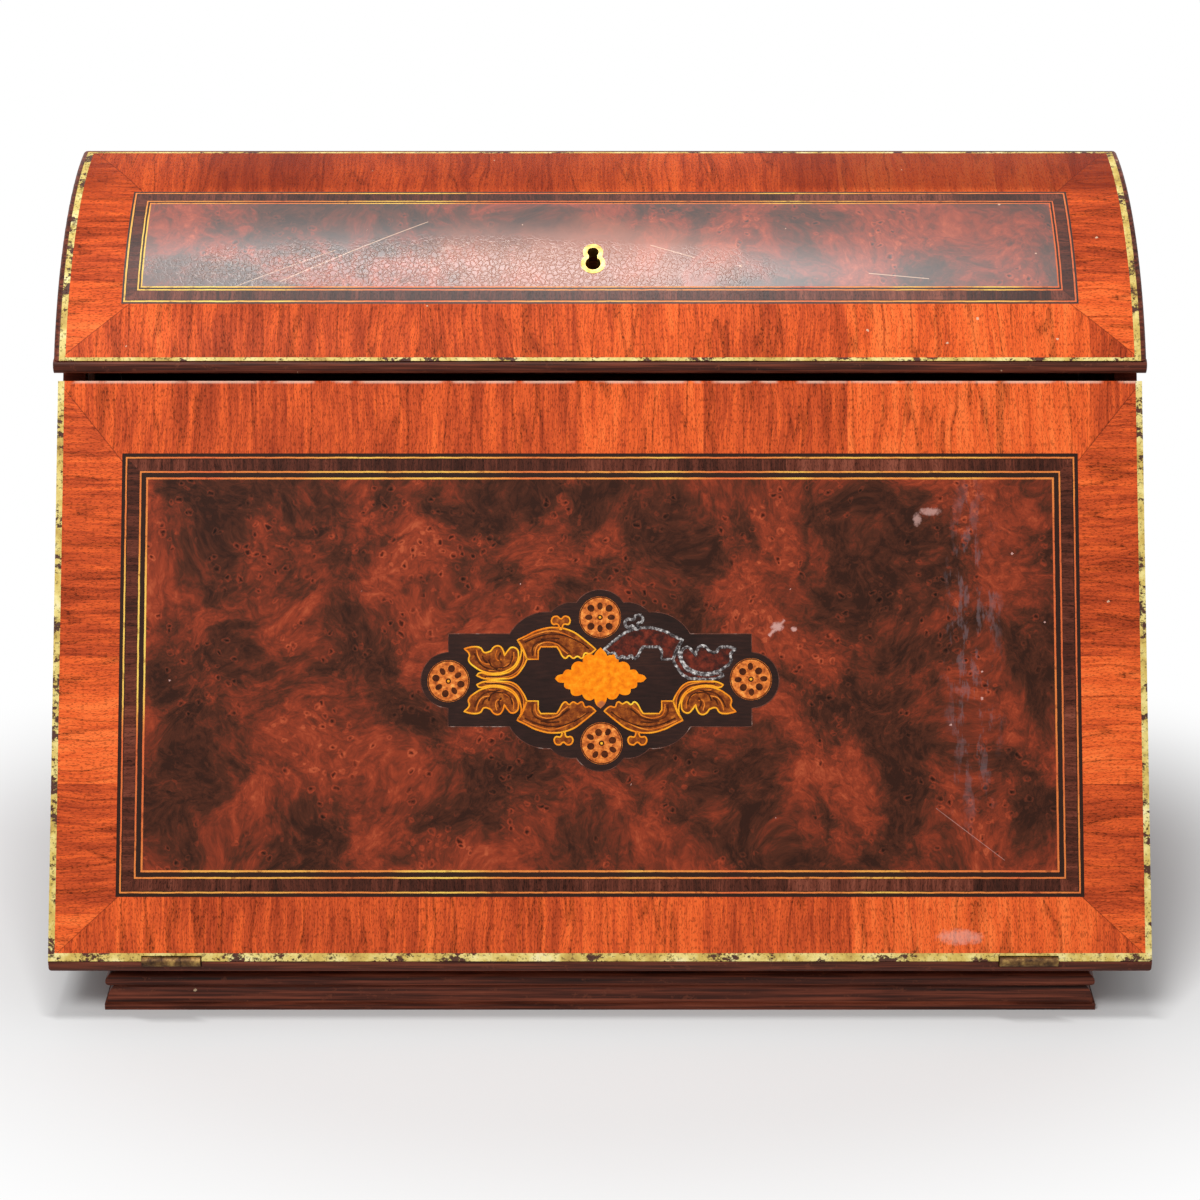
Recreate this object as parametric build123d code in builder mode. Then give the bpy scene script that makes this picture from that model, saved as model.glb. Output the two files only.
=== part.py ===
"""A table-top writing box: a sloping fall front that opens into a leather-lined writing
surface, and a domed lid over a letter rack, a pen tray and two inkwells.

Millimetres. X runs across the box, +Y to the back, +Z up. The origin is under the middle
of the box, on the table."""

from build123d import *
from math import asin, cos, degrees, radians, sin, sqrt, tan
import os

# Overall sizes of the case
case_width = 340.0
case_depth = 170.0
plinth_height = 16.0
base_thickness = 4.0
case_height = 158.1        # the sides, from the base board to the parting line
board = 7.0                # sides, back and lid
flap_length = 180.7
flap_lean = 30.2           # degrees back from upright
flap_thickness = 8.0
flap_gap = 0.25            # flap to base board and to the sloping sides
lid_gap = 0.3              # lid to case
veneer = 0.8

# The dome of the lid
dome_radius = 108.2
dome_centre_y = 179.7      # behind the front edge
dome_centre_z = 120.1
lid_overhang = 1.25        # past the sides of the case
rail_height = 4.5          # dark bullnose below the veneer
rail_depth = 5.75
rail_proud = 0.6           # past the foot of the veneer

# Veneer layout on the flap, measured up the slope and out from the middle
edge_width = 2.0
foot_edge_width = 2.5
edge_depth = 2.6
flap_frame_half = 149.5
flap_frame_low = 19.7
flap_frame_high = 157.8
flap_outer_string = 1.9
flap_band = 3.6
flap_inner_string = 2.7

# Veneer layout on the lid
lid_side_moulding = 1.9
lid_edge_width = 2.0
lid_front_edge = 1.1
lid_rear_line = 0.9
lid_frame_half = 150.7
lid_frame_low = 45.6       # degrees round the dome
lid_frame_high = 70.3
lid_outer_string = 1.4
lid_band = 3.2
lid_inner_string = 1.6

# Marquetry on the flap
cartouche_up = 86.7
cartouche_half_width = 47.0
cartouche_half_height = 14.3
lobe_radius = 8.5
lobe_rise = 19.6
shoulder_radius = 13.1     # two round steps from the long sides up to each lobe
shoulder_out = 16.5
shoulder_rise = 8.0
step_radius = 8.7
step_out = 8.6
step_rise = 15.4
rosette_radius = 6.5
medallion_half_width = 13.2
medallion_half_height = 8.1
scroll_width = 2.6

# Plinth mouldings
plinth_inset = 15.5
plinth_set_back = 4.0
plinth_depth = 14.0
plinth_foot = 2.0          # plain fillet at the table
plinth_ogee = 5.6          # height of the hollow curve above it
plinth_torus = 4.4         # height of the round above that
plinth_neck = 3.2          # how far the top of the moulding is set in
plinth_crown = 0.6         # small slope under the base board

# Keyhole and lock
key_angle = 54.4           # degrees round the dome
key_x = -2.2
key_upper_radius = 1.8
key_lower_radius = 2.45
key_rise = 2.5
key_drop = 1.85
key_waist = 2.75
key_pin_radius = 0.8
key_pin_proud = 3.0
liner_wall = 1.4
liner_depth = 5.0
lock_depth = 9.0
lock_half_width = 17.0
lock_flange = 6.0
lock_plate = 1.5
lock_up = 9.0
lock_down = 24.0
lock_behind = 13.0         # plate below the dome's surface
lock_screw_radius = 1.0
lock_screw_grip = 4.0
lock_hollow = 6.3
bolt_width = 14.0
bolt_thickness = 2.4
bolt_length = 12.0
bolt_clearance = 0.3
bolt_rest_gap = 0.4        # from the bolt's end to the lid's foot, drawn back
strike_thickness = 1.0
strike_margin = 0.9
bolt_pocket = 6.0
lock_recess = 12.0         # room above the bolt

# Hinges
knuckle_radius = 2.0
flap_knuckle_radius = 1.5
hinge_pin_radius = 0.7
hinge_clearance = 0.06
knuckle_room = 0.3
leaf_thickness = 0.8
leaf_width = 5.2
flap_leaf_width = 7.4
leaf_hole_share = 0.68       # of the leaf's width, from the pin
lid_hinge_length = 30.0
flap_hinge_length = 18.0
lid_hinge_x = 105.0
flap_hinge_x = 132.0
hinge_screw_radius = 0.8
hinge_screw_length = 6.0
flap_screw_length = 4.0
base_screw_length = 2.6

# Writing surface
leather_thickness = 0.8
leather_margin = 14.0

# Fittings inside
lining = 1.5
seat = 0.2                 # between fitted pieces inside
stand_front = 34.0
stand_rear = 84.0
stand_board = 4.0
stand_front_height = 28.0
stand_rear_height = 34.0
well_inside = 42.0
bearer_height = 10.0
bearer_width = 12.0
tray_height = 18.0
tray_trough_radius = 17.0
tray_trough_depth = 13.0
tray_end_wall = 8.0
inkwell_size = 34.0
inkwell_height = 34.0
inkwell_bore = 10.0
inkwell_bore_depth = 24.0
collar_radius = 13.0
collar_height = 3.0
cap_height = 5.0
cap_pin_radius = 0.8
cap_lug_length = 9.0
cheek = 5.0
cheek_groove = 2.0
cheek_front_height = 60.0
cheek_rear_height = 124.0
divider = 3.0
divider_first = 20.0
divider_pitch = 20.0
divider_heights = (64.0, 88.0, 112.0)
peg_radius = 1.1
peg_x = -160.0
peg_gap = 0.3

# Places worked out from the sizes
lean = radians(flap_lean)
half = case_width / 2
front = -(case_depth + knuckle_radius - flap_knuckle_radius) / 2
back = front + case_depth
base_top = plinth_height + base_thickness
flap_foot = base_top + flap_gap
parting = base_top + case_height
lid_foot = parting + lid_gap
rail_top = lid_foot + rail_height
dome_y = front + dome_centre_y
dome_z = dome_centre_z
dome_low = degrees(asin((rail_top - dome_z) / dome_radius))
dome_high = 90 - degrees(asin((dome_y - back) / dome_radius))
lid_half = half + lid_overhang
lid_inner_radius = dome_radius - board
bed_radius = dome_radius - veneer
flap_run = flap_thickness / cos(lean)
flap_plane = Plane(origin=(0, front, flap_foot), x_dir=(1, 0, 0), z_dir=(0, -cos(lean), sin(lean)))
inner_half = half - board
floor_top = base_top + seat + lining
inner_back = back - board


def round_dome(width):
    """The angle that a width covers on the dome's surface."""
    return degrees(width / dome_radius)


def dome_point(radius, angle):
    """A point in the side view, at an angle round the dome from the front."""
    a = radians(angle)
    return (dome_y - radius * cos(a), dome_z + radius * sin(a))


def dome_plane(angle):
    """The plane that touches the dome, with local Y up the slope."""
    y, z = dome_point(dome_radius, angle)
    a = radians(angle)
    return Plane(origin=(key_x, y, z), x_dir=(1, 0, 0), z_dir=(0, -cos(a), sin(a)))


def slab(x0, x1, y0, y1, z0, z1, mode=Mode.ADD):
    """A rectangular board between two corners."""
    with BuildSketch(Plane.XY.offset(z0)) as outline:
        with Locations(((x0 + x1) / 2, (y0 + y1) / 2)):
            Rectangle(x1 - x0, y1 - y0)
    extrude(outline.sketch, amount=z1 - z0, mode=mode)


def side_shape(points, x0, x1, mode=Mode.ADD):
    """A straight-sided side view, carried across from x0 to x1."""
    with BuildSketch(Plane.YZ.offset(x0)) as outline:
        with BuildLine():
            Polyline(*points, close=True)
        make_face()
    extrude(outline.sketch, amount=x1 - x0, mode=mode)


def dome_strip(inner, outer, angle0, angle1, x0, x1, mode=Mode.ADD):
    """A piece of a curved sheet round the dome."""
    middle = (angle0 + angle1) / 2
    with BuildSketch(Plane.YZ.offset(x0)) as outline:
        with BuildLine():
            ThreePointArc(*(dome_point(outer, a) for a in (angle0, middle, angle1)))
            Line(dome_point(outer, angle1), dome_point(inner, angle1))
            ThreePointArc(*(dome_point(inner, a) for a in (angle1, middle, angle0)))
            Line(dome_point(inner, angle0), dome_point(outer, angle0))
        make_face()
    extrude(outline.sketch, amount=x1 - x0, mode=mode)


def tube_x(radius, y, z, x0, x1, mode=Mode.ADD):
    """A round bar along X."""
    with BuildSketch(Plane.YZ.offset(x0)) as outline:
        with Locations((y, z)):
            Circle(radius)
    extrude(outline.sketch, amount=x1 - x0, mode=mode)


def flat_shape(points, plane, depth, mode=Mode.ADD):
    """A straight-sided outline on a plane, sunk below it."""
    with BuildSketch(plane) as outline:
        with BuildLine():
            Polyline(*points, close=True)
        make_face()
    extrude(outline.sketch, amount=-depth, mode=mode)


def rectangle_points(half_width, low, high):
    return ((-half_width, low), (half_width, low), (half_width, high), (-half_width, high))


def flat_rings(fields, plane, depth):
    """Frames between rectangles, each given as half width, low and high, from the outside in."""
    with BuildSketch(plane) as outline:
        for number, (half_width, low, high) in enumerate(fields):
            with Locations((0, (low + high) / 2)):
                Rectangle(2 * half_width, high - low, mode=Mode.SUBTRACT if number % 2 else Mode.ADD)
    extrude(outline.sketch, amount=-depth)


def dome_ring(outer, inner, thickness):
    """A frame round the dome between two fields, each given as half width, low and high."""
    for low, high in ((outer[1], inner[1]), (inner[2], outer[2])):
        dome_strip(dome_radius - thickness, dome_radius, low, high, -outer[0], outer[0])
    for side in (-1, 1):
        x0, x1 = sorted((side * inner[0], side * outer[0]))
        dome_strip(dome_radius - thickness, dome_radius, inner[1], inner[2], x0, x1)


def shrink(field, width, angle=None):
    """A field made smaller on all sides. On the dome its low and high are angles."""
    step = width if angle is None else angle
    return (field[0] - width, field[1] + step, field[2] - step)


def keyhole_shape(plane, grow, depth, mode=Mode.ADD):
    """The figure-of-eight keyhole, larger all round by grow, carried along its axis."""
    with BuildSketch(plane) as outline:
        with Locations((0, key_rise)):
            Circle(key_upper_radius + grow)
        with Locations((0, -key_drop)):
            Circle(key_lower_radius + grow)
        with Locations((0, (key_rise - key_drop) / 2)):
            Rectangle(key_waist + 2 * grow, key_rise + key_drop)
    extrude(outline.sketch, amount=depth, mode=mode)


def save(part, name):
    part.label = name
    export_step(part, f"parts/{name}.step")


os.makedirs("parts", exist_ok=True)

# The plinth is four lengths of one moulding, mitred at the corners.
plinth_half = half - plinth_inset
plinth_front = front + plinth_set_back
plinth_back = back - plinth_set_back


def plinth_profile():
    """The moulding's section: outer face at x = 0, body towards -x, foot at y = 0."""
    ogee_top = plinth_foot + plinth_ogee
    torus_top = ogee_top + plinth_torus
    crown = plinth_height - plinth_crown
    with BuildLine(mode=Mode.PRIVATE) as line:
        Line((0, 0), (0, plinth_foot))
        Line((0, plinth_foot), (-plinth_neck / 4, plinth_foot))
        ThreePointArc(
            (-plinth_neck / 4, plinth_foot), (-plinth_neck * 0.4, plinth_foot + plinth_ogee * 0.55), (-plinth_neck, ogee_top)
        )
        ThreePointArc((-plinth_neck, ogee_top), (-plinth_neck / 5, (ogee_top + torus_top) / 2), (-plinth_neck, torus_top))
        ThreePointArc(
            (-plinth_neck, torus_top), (-plinth_neck * 1.3, (torus_top + crown) / 2), (-plinth_neck, crown)
        )
        Line((-plinth_neck, crown), (-plinth_neck + plinth_crown, plinth_height))
        Line((-plinth_neck + plinth_crown, plinth_height), (-plinth_depth, plinth_height))
        Line((-plinth_depth, plinth_height), (-plinth_depth, 0))
        Line((-plinth_depth, 0), (0, 0))
    return line.line.edges()


def plinth_length(plane, length):
    """One length of moulding on a plane whose local X points outwards, cut at 45 degrees."""
    with BuildPart() as piece:
        with BuildSketch(plane) as section:
            make_face(plinth_profile())
        extrude(amount=length / 2, both=True)
        for side in (-1, 1):
            corner = plane.offset(side * length / 2)
            cut = Plane(
                origin=corner.origin,
                x_dir=corner.y_dir,
                z_dir=corner.z_dir * side - corner.x_dir,
            )
            split(bisect_by=cut, keep=Keep.BOTTOM)
    return piece


plinth_runs = {
    "plinth_front": (Plane(origin=(0, plinth_front, 0), x_dir=(0, -1, 0), z_dir=(-1, 0, 0)), 2 * plinth_half),
    "plinth_back": (Plane(origin=(0, plinth_back, 0), x_dir=(0, 1, 0), z_dir=(1, 0, 0)), 2 * plinth_half),
    "plinth_left": (
        Plane(origin=(-plinth_half, (plinth_front + plinth_back) / 2, 0), x_dir=(-1, 0, 0), z_dir=(0, 1, 0)),
        plinth_back - plinth_front,
    ),
    "plinth_right": (
        Plane(origin=(plinth_half, (plinth_front + plinth_back) / 2, 0), x_dir=(1, 0, 0), z_dir=(0, -1, 0)),
        plinth_back - plinth_front,
    ),
}
for name, (plane, length) in plinth_runs.items():
    save(plinth_length(plane, length).part, name)

# The hinges' lines, and the recesses that both sides of a joint need for them
lid_pin = (back, (parting + lid_foot) / 2)
flap_pin = (front, (base_top + flap_foot) / 2)


def hinge_spans(x, length):
    """Where a hinge starts and ends, and its two cuts between three knuckles."""
    third = length / 3
    return (x - length / 2, x - third / 2, x + third / 2, x + length / 2)


def hinge_room(hinge, leaf_z, leaf_way):
    """Take out the room for the hinges' barrels and for the leaves let into this board."""
    centres, length, pin, radius, width = hinge
    for x in centres:
        x0, x1 = x - length / 2 - knuckle_room, x + length / 2 + knuckle_room
        tube_x(radius + knuckle_room, *pin, x0, x1, mode=Mode.SUBTRACT)
        y0, y1 = sorted((pin[0], pin[0] + leaf_way * (width + seat)))
        slab(x0, x1, y0, y1, *leaf_z, mode=Mode.SUBTRACT)


def screw_spots(hinge, leaf_way):
    """Where the screws go through the leaves, two to a leaf."""
    centres, length, pin, radius, width = hinge
    spot_y = pin[0] + leaf_way * width * leaf_hole_share
    return [(x + side * length / 3, spot_y) for x in centres for side in (-1, 1)]


def hinge_leaves(hinge, leaf_z, leaf_way, outer):
    """Like leaves of several hinges, with their knuckles: the outer two, or the middle one."""
    centres, length, pin, radius, width = hinge
    with BuildPart() as leaves:
        for x in centres:
            a, b, c, d = hinge_spans(x, length)
            spans = ((a, b), (c, d)) if outer else ((b, c),)
            others = ((b, c),) if outer else ((a, b), (c, d))
            y0, y1 = sorted((pin[0], pin[0] + leaf_way * width))
            slab(a, d, y0, y1, *leaf_z)
            for x0, x1 in others:
                tube_x(radius + knuckle_room, *pin, x0 - seat, x1 + seat, mode=Mode.SUBTRACT)
            for x0, x1 in spans:
                trim = 0 if outer else hinge_clearance
                tube_x(radius, *pin, x0 + trim, x1 - trim)
            tube_x(hinge_pin_radius + hinge_clearance, *pin, a - 1, d + 1, mode=Mode.SUBTRACT)
        with BuildSketch(Plane.XY.offset(leaf_z[0] - 1)) as holes:
            with Locations(*screw_spots(hinge, leaf_way)):
                Circle(hinge_screw_radius + hinge_clearance)
        extrude(holes.sketch, amount=leaf_thickness + 2, mode=Mode.SUBTRACT)
    return leaves.part


def screw_shanks(hinge, face_z, length, leaf_way, grow=0.0, mode=Mode.ADD):
    """The screws through the leaves, down from face_z if length is below nothing."""
    with BuildSketch(Plane.XY.offset(face_z)) as shanks:
        with Locations(*screw_spots(hinge, leaf_way)):
            Circle(hinge_screw_radius + grow)
    extrude(shanks.sketch, amount=length, mode=mode)


lid_hinges = (-lid_hinge_x, lid_hinge_x)
flap_hinges = (-flap_hinge_x, flap_hinge_x)
case_leaf_z = (parting - leaf_thickness, parting)
lid_leaf_z = (lid_foot, lid_foot + leaf_thickness)
base_leaf_z = (base_top - leaf_thickness, base_top)
flap_leaf_z = (flap_foot, flap_foot + leaf_thickness)
lid_hinge = (lid_hinges, lid_hinge_length, lid_pin, knuckle_radius, leaf_width)
flap_hinge = (flap_hinges, flap_hinge_length, flap_pin, flap_knuckle_radius, flap_leaf_width)

# The base board, with its rounded edge, overhangs the plinth.
with BuildPart() as base_board:
    slab(-half, half, front, back, plinth_height, base_top)
    edges = base_board.edges().group_by(Axis.Z)[0]
    fillet(edges, radius=base_thickness * 0.45)
    hinge_room(flap_hinge, base_leaf_z, 1)
    screw_shanks(flap_hinge, base_top, -base_screw_length - seat, 1, hinge_clearance, Mode.SUBTRACT)
save(base_board.part, "base_board")

# The carcass sides stand on the base and slope at the front under the flap.
side_foot = front + flap_run + flap_gap / cos(lean)
side_points = (
    (side_foot, base_top),
    (back, base_top),
    (back, parting),
    (side_foot + case_height * tan(lean), parting),
)
for name, x0 in (("side_left", -half), ("side_right", inner_half)):
    with BuildPart() as side_board:
        side_shape(side_points, x0, x0 + board)
    save(side_board.part, name)

# The back fits between the sides and carries the lid's hinges.
with BuildPart() as back_board:
    slab(-inner_half + seat, inner_half - seat, inner_back, back, base_top, parting)
    hinge_room(lid_hinge, case_leaf_z, -1)
    screw_shanks(lid_hinge, parting, -hinge_screw_length - seat, -1, hinge_clearance, Mode.SUBTRACT)
save(back_board.part, "back_board")

# The floor inside is a lined board that lies on the base.
lining_front = side_foot + 4
with BuildPart() as floor_lining:
    slab(-inner_half + seat, inner_half - seat, lining_front, inner_back - seat, floor_top - lining, floor_top)
save(floor_lining.part, "floor_lining")

# The flap's board is bevelled level along its foot.
flap_top_y = front + flap_length * sin(lean)
flap_top_z = flap_foot + flap_length * cos(lean)
flap_points = (
    (front, flap_foot),
    (front + flap_run, flap_foot),
    (flap_top_y + flap_thickness * cos(lean), flap_top_z - flap_thickness * sin(lean)),
    (flap_top_y, flap_top_z),
)
flap_field = (half - edge_width, foot_edge_width, flap_length)
flap_frame = (flap_frame_half, flap_frame_low, flap_frame_high)
flap_band_field = shrink(flap_frame, flap_outer_string)
flap_inner_field = shrink(flap_band_field, flap_band)
flap_panel_field = shrink(flap_inner_field, flap_inner_string)
leather_plane = flap_plane.offset(-flap_thickness)
leather_field = (inner_half - leather_margin, leather_margin + flap_thickness, flap_length - leather_margin)
bolt_centre = -(veneer + (flap_thickness - veneer) / 2)


def bolt_box(start, end, grow, mode):
    """The bolt's path in the flap's own directions, from start to end up the slope."""
    with BuildSketch(flap_plane.offset(bolt_centre - bolt_thickness / 2 - grow)) as outline:
        with Locations((key_x, (start + end) / 2)):
            Rectangle(bolt_width + 2 * grow, end - start)
    extrude(outline.sketch, amount=bolt_thickness + 2 * grow, mode=mode)


with BuildPart() as flap_board:
    side_shape(flap_points, -half, half)
    flat_shape(rectangle_points(*flap_field), flap_plane, veneer, mode=Mode.SUBTRACT)
    for side in (-1, 1):
        x0, x1 = sorted((side * half, side * (half - edge_width)))
        strip = ((x0, 0), (x1, 0), (x1, flap_length), (x0, flap_length))
        flat_shape(strip, flap_plane, edge_depth, mode=Mode.SUBTRACT)
    flat_shape(rectangle_points(half, -flap_thickness, foot_edge_width), flap_plane, edge_depth, mode=Mode.SUBTRACT)
    flat_shape(rectangle_points(*leather_field), leather_plane, -leather_thickness, mode=Mode.SUBTRACT)
    hinge_room(flap_hinge, flap_leaf_z, 1)
    screw_shanks(flap_hinge, flap_foot, flap_screw_length + seat, 1, hinge_clearance, Mode.SUBTRACT)
    bolt_box(flap_length - bolt_pocket, flap_length + 1, bolt_clearance, Mode.SUBTRACT)
    bolt_box(flap_length - strike_thickness, flap_length + 1, strike_margin + bolt_clearance, Mode.SUBTRACT)
save(flap_board.part, "flap_board")

with BuildPart() as strike_plate:
    bolt_box(flap_length - strike_thickness, flap_length, strike_margin, Mode.ADD)
    bolt_box(flap_length - 2 * strike_thickness, flap_length + 1, bolt_clearance, Mode.SUBTRACT)
save(strike_plate.part, "strike_plate")

# Pale edging protects the flap's arrises.
with BuildPart() as flap_edging:
    for side in (-1, 1):
        x0, x1 = sorted((side * half, side * (half - edge_width)))
        strip = ((x0, foot_edge_width), (x1, foot_edge_width), (x1, flap_length), (x0, flap_length))
        flat_shape(strip, flap_plane, edge_depth)
    top_y = front + foot_edge_width * sin(lean)
    top_z = flap_foot + foot_edge_width * cos(lean)
    foot_points = (
        (front, flap_foot),
        (front + edge_depth / cos(lean), flap_foot),
        (top_y + edge_depth * cos(lean), top_z - edge_depth * sin(lean)),
        (top_y, top_z),
    )
    side_shape(foot_points, -half, half)
    hinge_room(flap_hinge, flap_leaf_z, 1)
save(flap_edging.part, "flap_edging")

# Four lengths of cross-cut veneer, mitred at the corners, frame the flap.
with BuildPart() as flap_crossbanding:
    w, low, high = flap_field
    iw, ilow, ihigh = flap_frame
    for side in (-1, 1):
        flat_shape(((side * w, low), (side * w, high), (side * iw, ihigh), (side * iw, ilow)), flap_plane, veneer)
    flat_shape(((-w, low), (w, low), (iw, ilow), (-iw, ilow)), flap_plane, veneer)
    flat_shape(((-w, high), (w, high), (iw, ihigh), (-iw, ihigh)), flap_plane, veneer)
save(flap_crossbanding.part, "flap_crossbanding")

with BuildPart() as flap_stringing:
    flat_rings((flap_frame, flap_band_field, flap_inner_field, flap_panel_field), flap_plane, veneer)
save(flap_stringing.part, "flap_stringing")

with BuildPart() as flap_kingwood_band:
    flat_rings((flap_band_field, flap_inner_field), flap_plane, veneer)
save(flap_kingwood_band.part, "flap_kingwood_band")


def cartouche_outline():
    """The dark ground's outline: a long field with round shoulders and four lobes."""
    with Locations((0, cartouche_up)):
        Rectangle(2 * cartouche_half_width, 2 * cartouche_half_height)
    for dx, dy in ((1, 0), (-1, 0), (0, 1), (0, -1)):
        with Locations((dx * cartouche_half_width, cartouche_up + dy * lobe_rise)):
            Circle(lobe_radius)
    for dx in (-1, 1):
        for dy in (-1, 1):
            with Locations((dx * shoulder_out, cartouche_up + dy * shoulder_rise)):
                Circle(shoulder_radius)
            with Locations((dx * step_out, cartouche_up + dy * step_rise)):
                Circle(step_radius)


with BuildPart() as flap_burr_panel:
    flat_shape(rectangle_points(*flap_panel_field), flap_plane, veneer)
    with BuildSketch(flap_plane) as ground_hole:
        cartouche_outline()
    extrude(amount=-veneer, mode=Mode.SUBTRACT)
save(flap_burr_panel.part, "flap_burr_panel")


def rosettes(mode):
    for dx, dy in ((1, 0), (-1, 0), (0, 1), (0, -1)):
        with Locations((dx * cartouche_half_width, cartouche_up + dy * lobe_rise)):
            Circle(rosette_radius, mode=mode)


def medallion(mode):
    with Locations((0, cartouche_up)):
        Ellipse(medallion_half_width, medallion_half_height, mode=mode)


def scrolls(mode):
    """Four bands of strapwork that run from the middle out to the ends, in mirror pairs."""
    reach = cartouche_half_width - lobe_radius - scroll_width
    rise = cartouche_half_height - scroll_width
    for sx in (-1, 1):
        for sy in (-1, 1):
            with BuildLine(mode=Mode.PRIVATE) as path:
                Spline(
                    (sx * medallion_half_width * 0.9, cartouche_up + sy * medallion_half_height),
                    (sx * reach * 0.52, cartouche_up + sy * rise * 0.78),
                    (sx * reach * 0.78, cartouche_up + sy * rise),
                    (sx * reach, cartouche_up + sy * rise * 0.55),
                )
            trace(lines=path.line, line_width=scroll_width, mode=mode)


with BuildPart() as cartouche_ground:
    with BuildSketch(flap_plane) as ground:
        cartouche_outline()
        rosettes(Mode.SUBTRACT)
        medallion(Mode.SUBTRACT)
        scrolls(Mode.SUBTRACT)
    extrude(amount=-veneer)
save(cartouche_ground.part, "cartouche_ground")

with BuildPart() as cartouche_rosettes:
    with BuildSketch(flap_plane) as discs:
        rosettes(Mode.ADD)
    extrude(amount=-veneer)
save(cartouche_rosettes.part, "cartouche_rosettes")

with BuildPart() as cartouche_medallion:
    with BuildSketch(flap_plane) as plaque:
        medallion(Mode.ADD)
    extrude(amount=-veneer)
save(cartouche_medallion.part, "cartouche_medallion")

with BuildPart() as cartouche_scrolls:
    with BuildSketch(flap_plane) as bands:
        scrolls(Mode.ADD)
        medallion(Mode.SUBTRACT)
    extrude(amount=-veneer)
save(cartouche_scrolls.part, "cartouche_scrolls")

# The writing surface is let into the flap's inner face.
with BuildPart() as writing_leather:
    flat_shape(rectangle_points(*shrink(leather_field, seat)), leather_plane, -leather_thickness)
save(writing_leather.part, "writing_leather")

# The lid's curved board, with the bed for its veneers and edging, and the lock's cuts
veneer_half = lid_half - lid_side_moulding - lid_edge_width
front_edge_angle = round_dome(lid_front_edge)
rear_edge_end = dome_high - round_dome(lid_rear_line)
rear_edge_start = rear_edge_end - front_edge_angle
key_plane = dome_plane(key_angle)
lock_block_half = lock_half_width + lock_flange


def dome_board_profile(inner, outer):
    """Side view of the curved board, cut level at its foot and upright at the back."""
    ends = []
    for radius in (outer, inner):
        low = degrees(asin((rail_top - dome_z) / radius))
        high = 90 - degrees(asin((dome_y - back) / radius))
        ends.append((radius, low, high))
    (ro, lo, ho), (ri, li, hi) = ends
    with BuildLine(mode=Mode.PRIVATE) as line:
        ThreePointArc(dome_point(ro, lo), dome_point(ro, (lo + ho) / 2), dome_point(ro, ho))
        Line(dome_point(ro, ho), dome_point(ri, hi))
        ThreePointArc(dome_point(ri, hi), dome_point(ri, (li + hi) / 2), dome_point(ri, li))
        Line(dome_point(ri, li), dome_point(ro, lo))
    return line.line.edges()


with BuildPart() as lid_dome:
    with BuildSketch(Plane.YZ.offset(-lid_half)) as dome_face:
        make_face(dome_board_profile(lid_inner_radius, dome_radius))
    extrude(amount=2 * lid_half)
    end_edges = lid_dome.edges().filter_by(GeomType.CIRCLE).filter_by(
        lambda e: abs(e.radius - dome_radius) < 0.01
    )
    fillet(end_edges, radius=lid_side_moulding * 0.9)
    dome_strip(bed_radius, dome_radius + 1, dome_low - 1, rear_edge_end, -veneer_half, veneer_half, Mode.SUBTRACT)
    for side in (-1, 1):
        x0, x1 = sorted((side * veneer_half, side * (veneer_half + lid_edge_width)))
        dome_strip(dome_radius - edge_depth, dome_radius + 1, dome_low - 1, rear_edge_end, x0, x1, Mode.SUBTRACT)
    dome_strip(
        dome_radius - edge_depth, dome_radius + 1, dome_low - 1, dome_low + front_edge_angle,
        -veneer_half, veneer_half, Mode.SUBTRACT,
    )
    dome_strip(
        dome_radius - edge_depth, dome_radius + 1, rear_edge_start, rear_edge_end,
        -veneer_half, veneer_half, Mode.SUBTRACT,
    )
    keyhole_shape(key_plane, liner_wall, -liner_depth, Mode.SUBTRACT)
    keyhole_shape(key_plane, 0, -2 * board, Mode.SUBTRACT)
    bolt_box(flap_length + 1, flap_length + bolt_length + lock_recess, bolt_clearance, Mode.SUBTRACT)
save(lid_dome.part, "lid_dome")

# The lid's ends fit under the curved board, between the rail and the back.
rail_front = dome_point(dome_radius, dome_low)[0] - rail_proud
rail_back = rail_front + rail_depth
end_front = rail_back + seat
end_radius = lid_inner_radius - seat


def lid_end(x0):
    with BuildPart() as end:
        with BuildSketch(Plane.YZ.offset(x0)) as outline:
            with Locations((dome_y, dome_z)):
                Circle(end_radius)
            with Locations(((end_front + inner_back - seat) / 2, lid_foot + end_radius / 2)):
                Rectangle(inner_back - seat - end_front, end_radius, mode=Mode.INTERSECT)
        extrude(outline.sketch, amount=board)
    return end.part


save(lid_end(-half), "lid_end_left")
save(lid_end(inner_half), "lid_end_right")

# The lid's back stands under the curved board and carries the hinges.
lid_back_top = dome_z + sqrt((lid_inner_radius - seat) ** 2 - (dome_y - inner_back) ** 2)
with BuildPart() as lid_back:
    slab(-half, half, inner_back, back, lid_foot, lid_back_top)
    hinge_room(lid_hinge, lid_leaf_z, -1)
    screw_shanks(lid_hinge, lid_foot, hinge_screw_length + seat, -1, hinge_clearance, Mode.SUBTRACT)
save(lid_back.part, "lid_back")

# The dark rail along the lid's front edge has a half-round nose.
with BuildPart() as lid_front_rail:
    slab(-lid_half, lid_half, rail_front, rail_back, lid_foot, rail_top)
    nose = lid_front_rail.edges().filter_by(Axis.X).group_by(Axis.Y)[0]
    fillet(nose, radius=rail_height * 0.46)
    bolt_box(flap_length + 1, flap_length + bolt_length + lock_recess, bolt_clearance, Mode.SUBTRACT)
save(lid_front_rail.part, "lid_front_rail")

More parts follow.
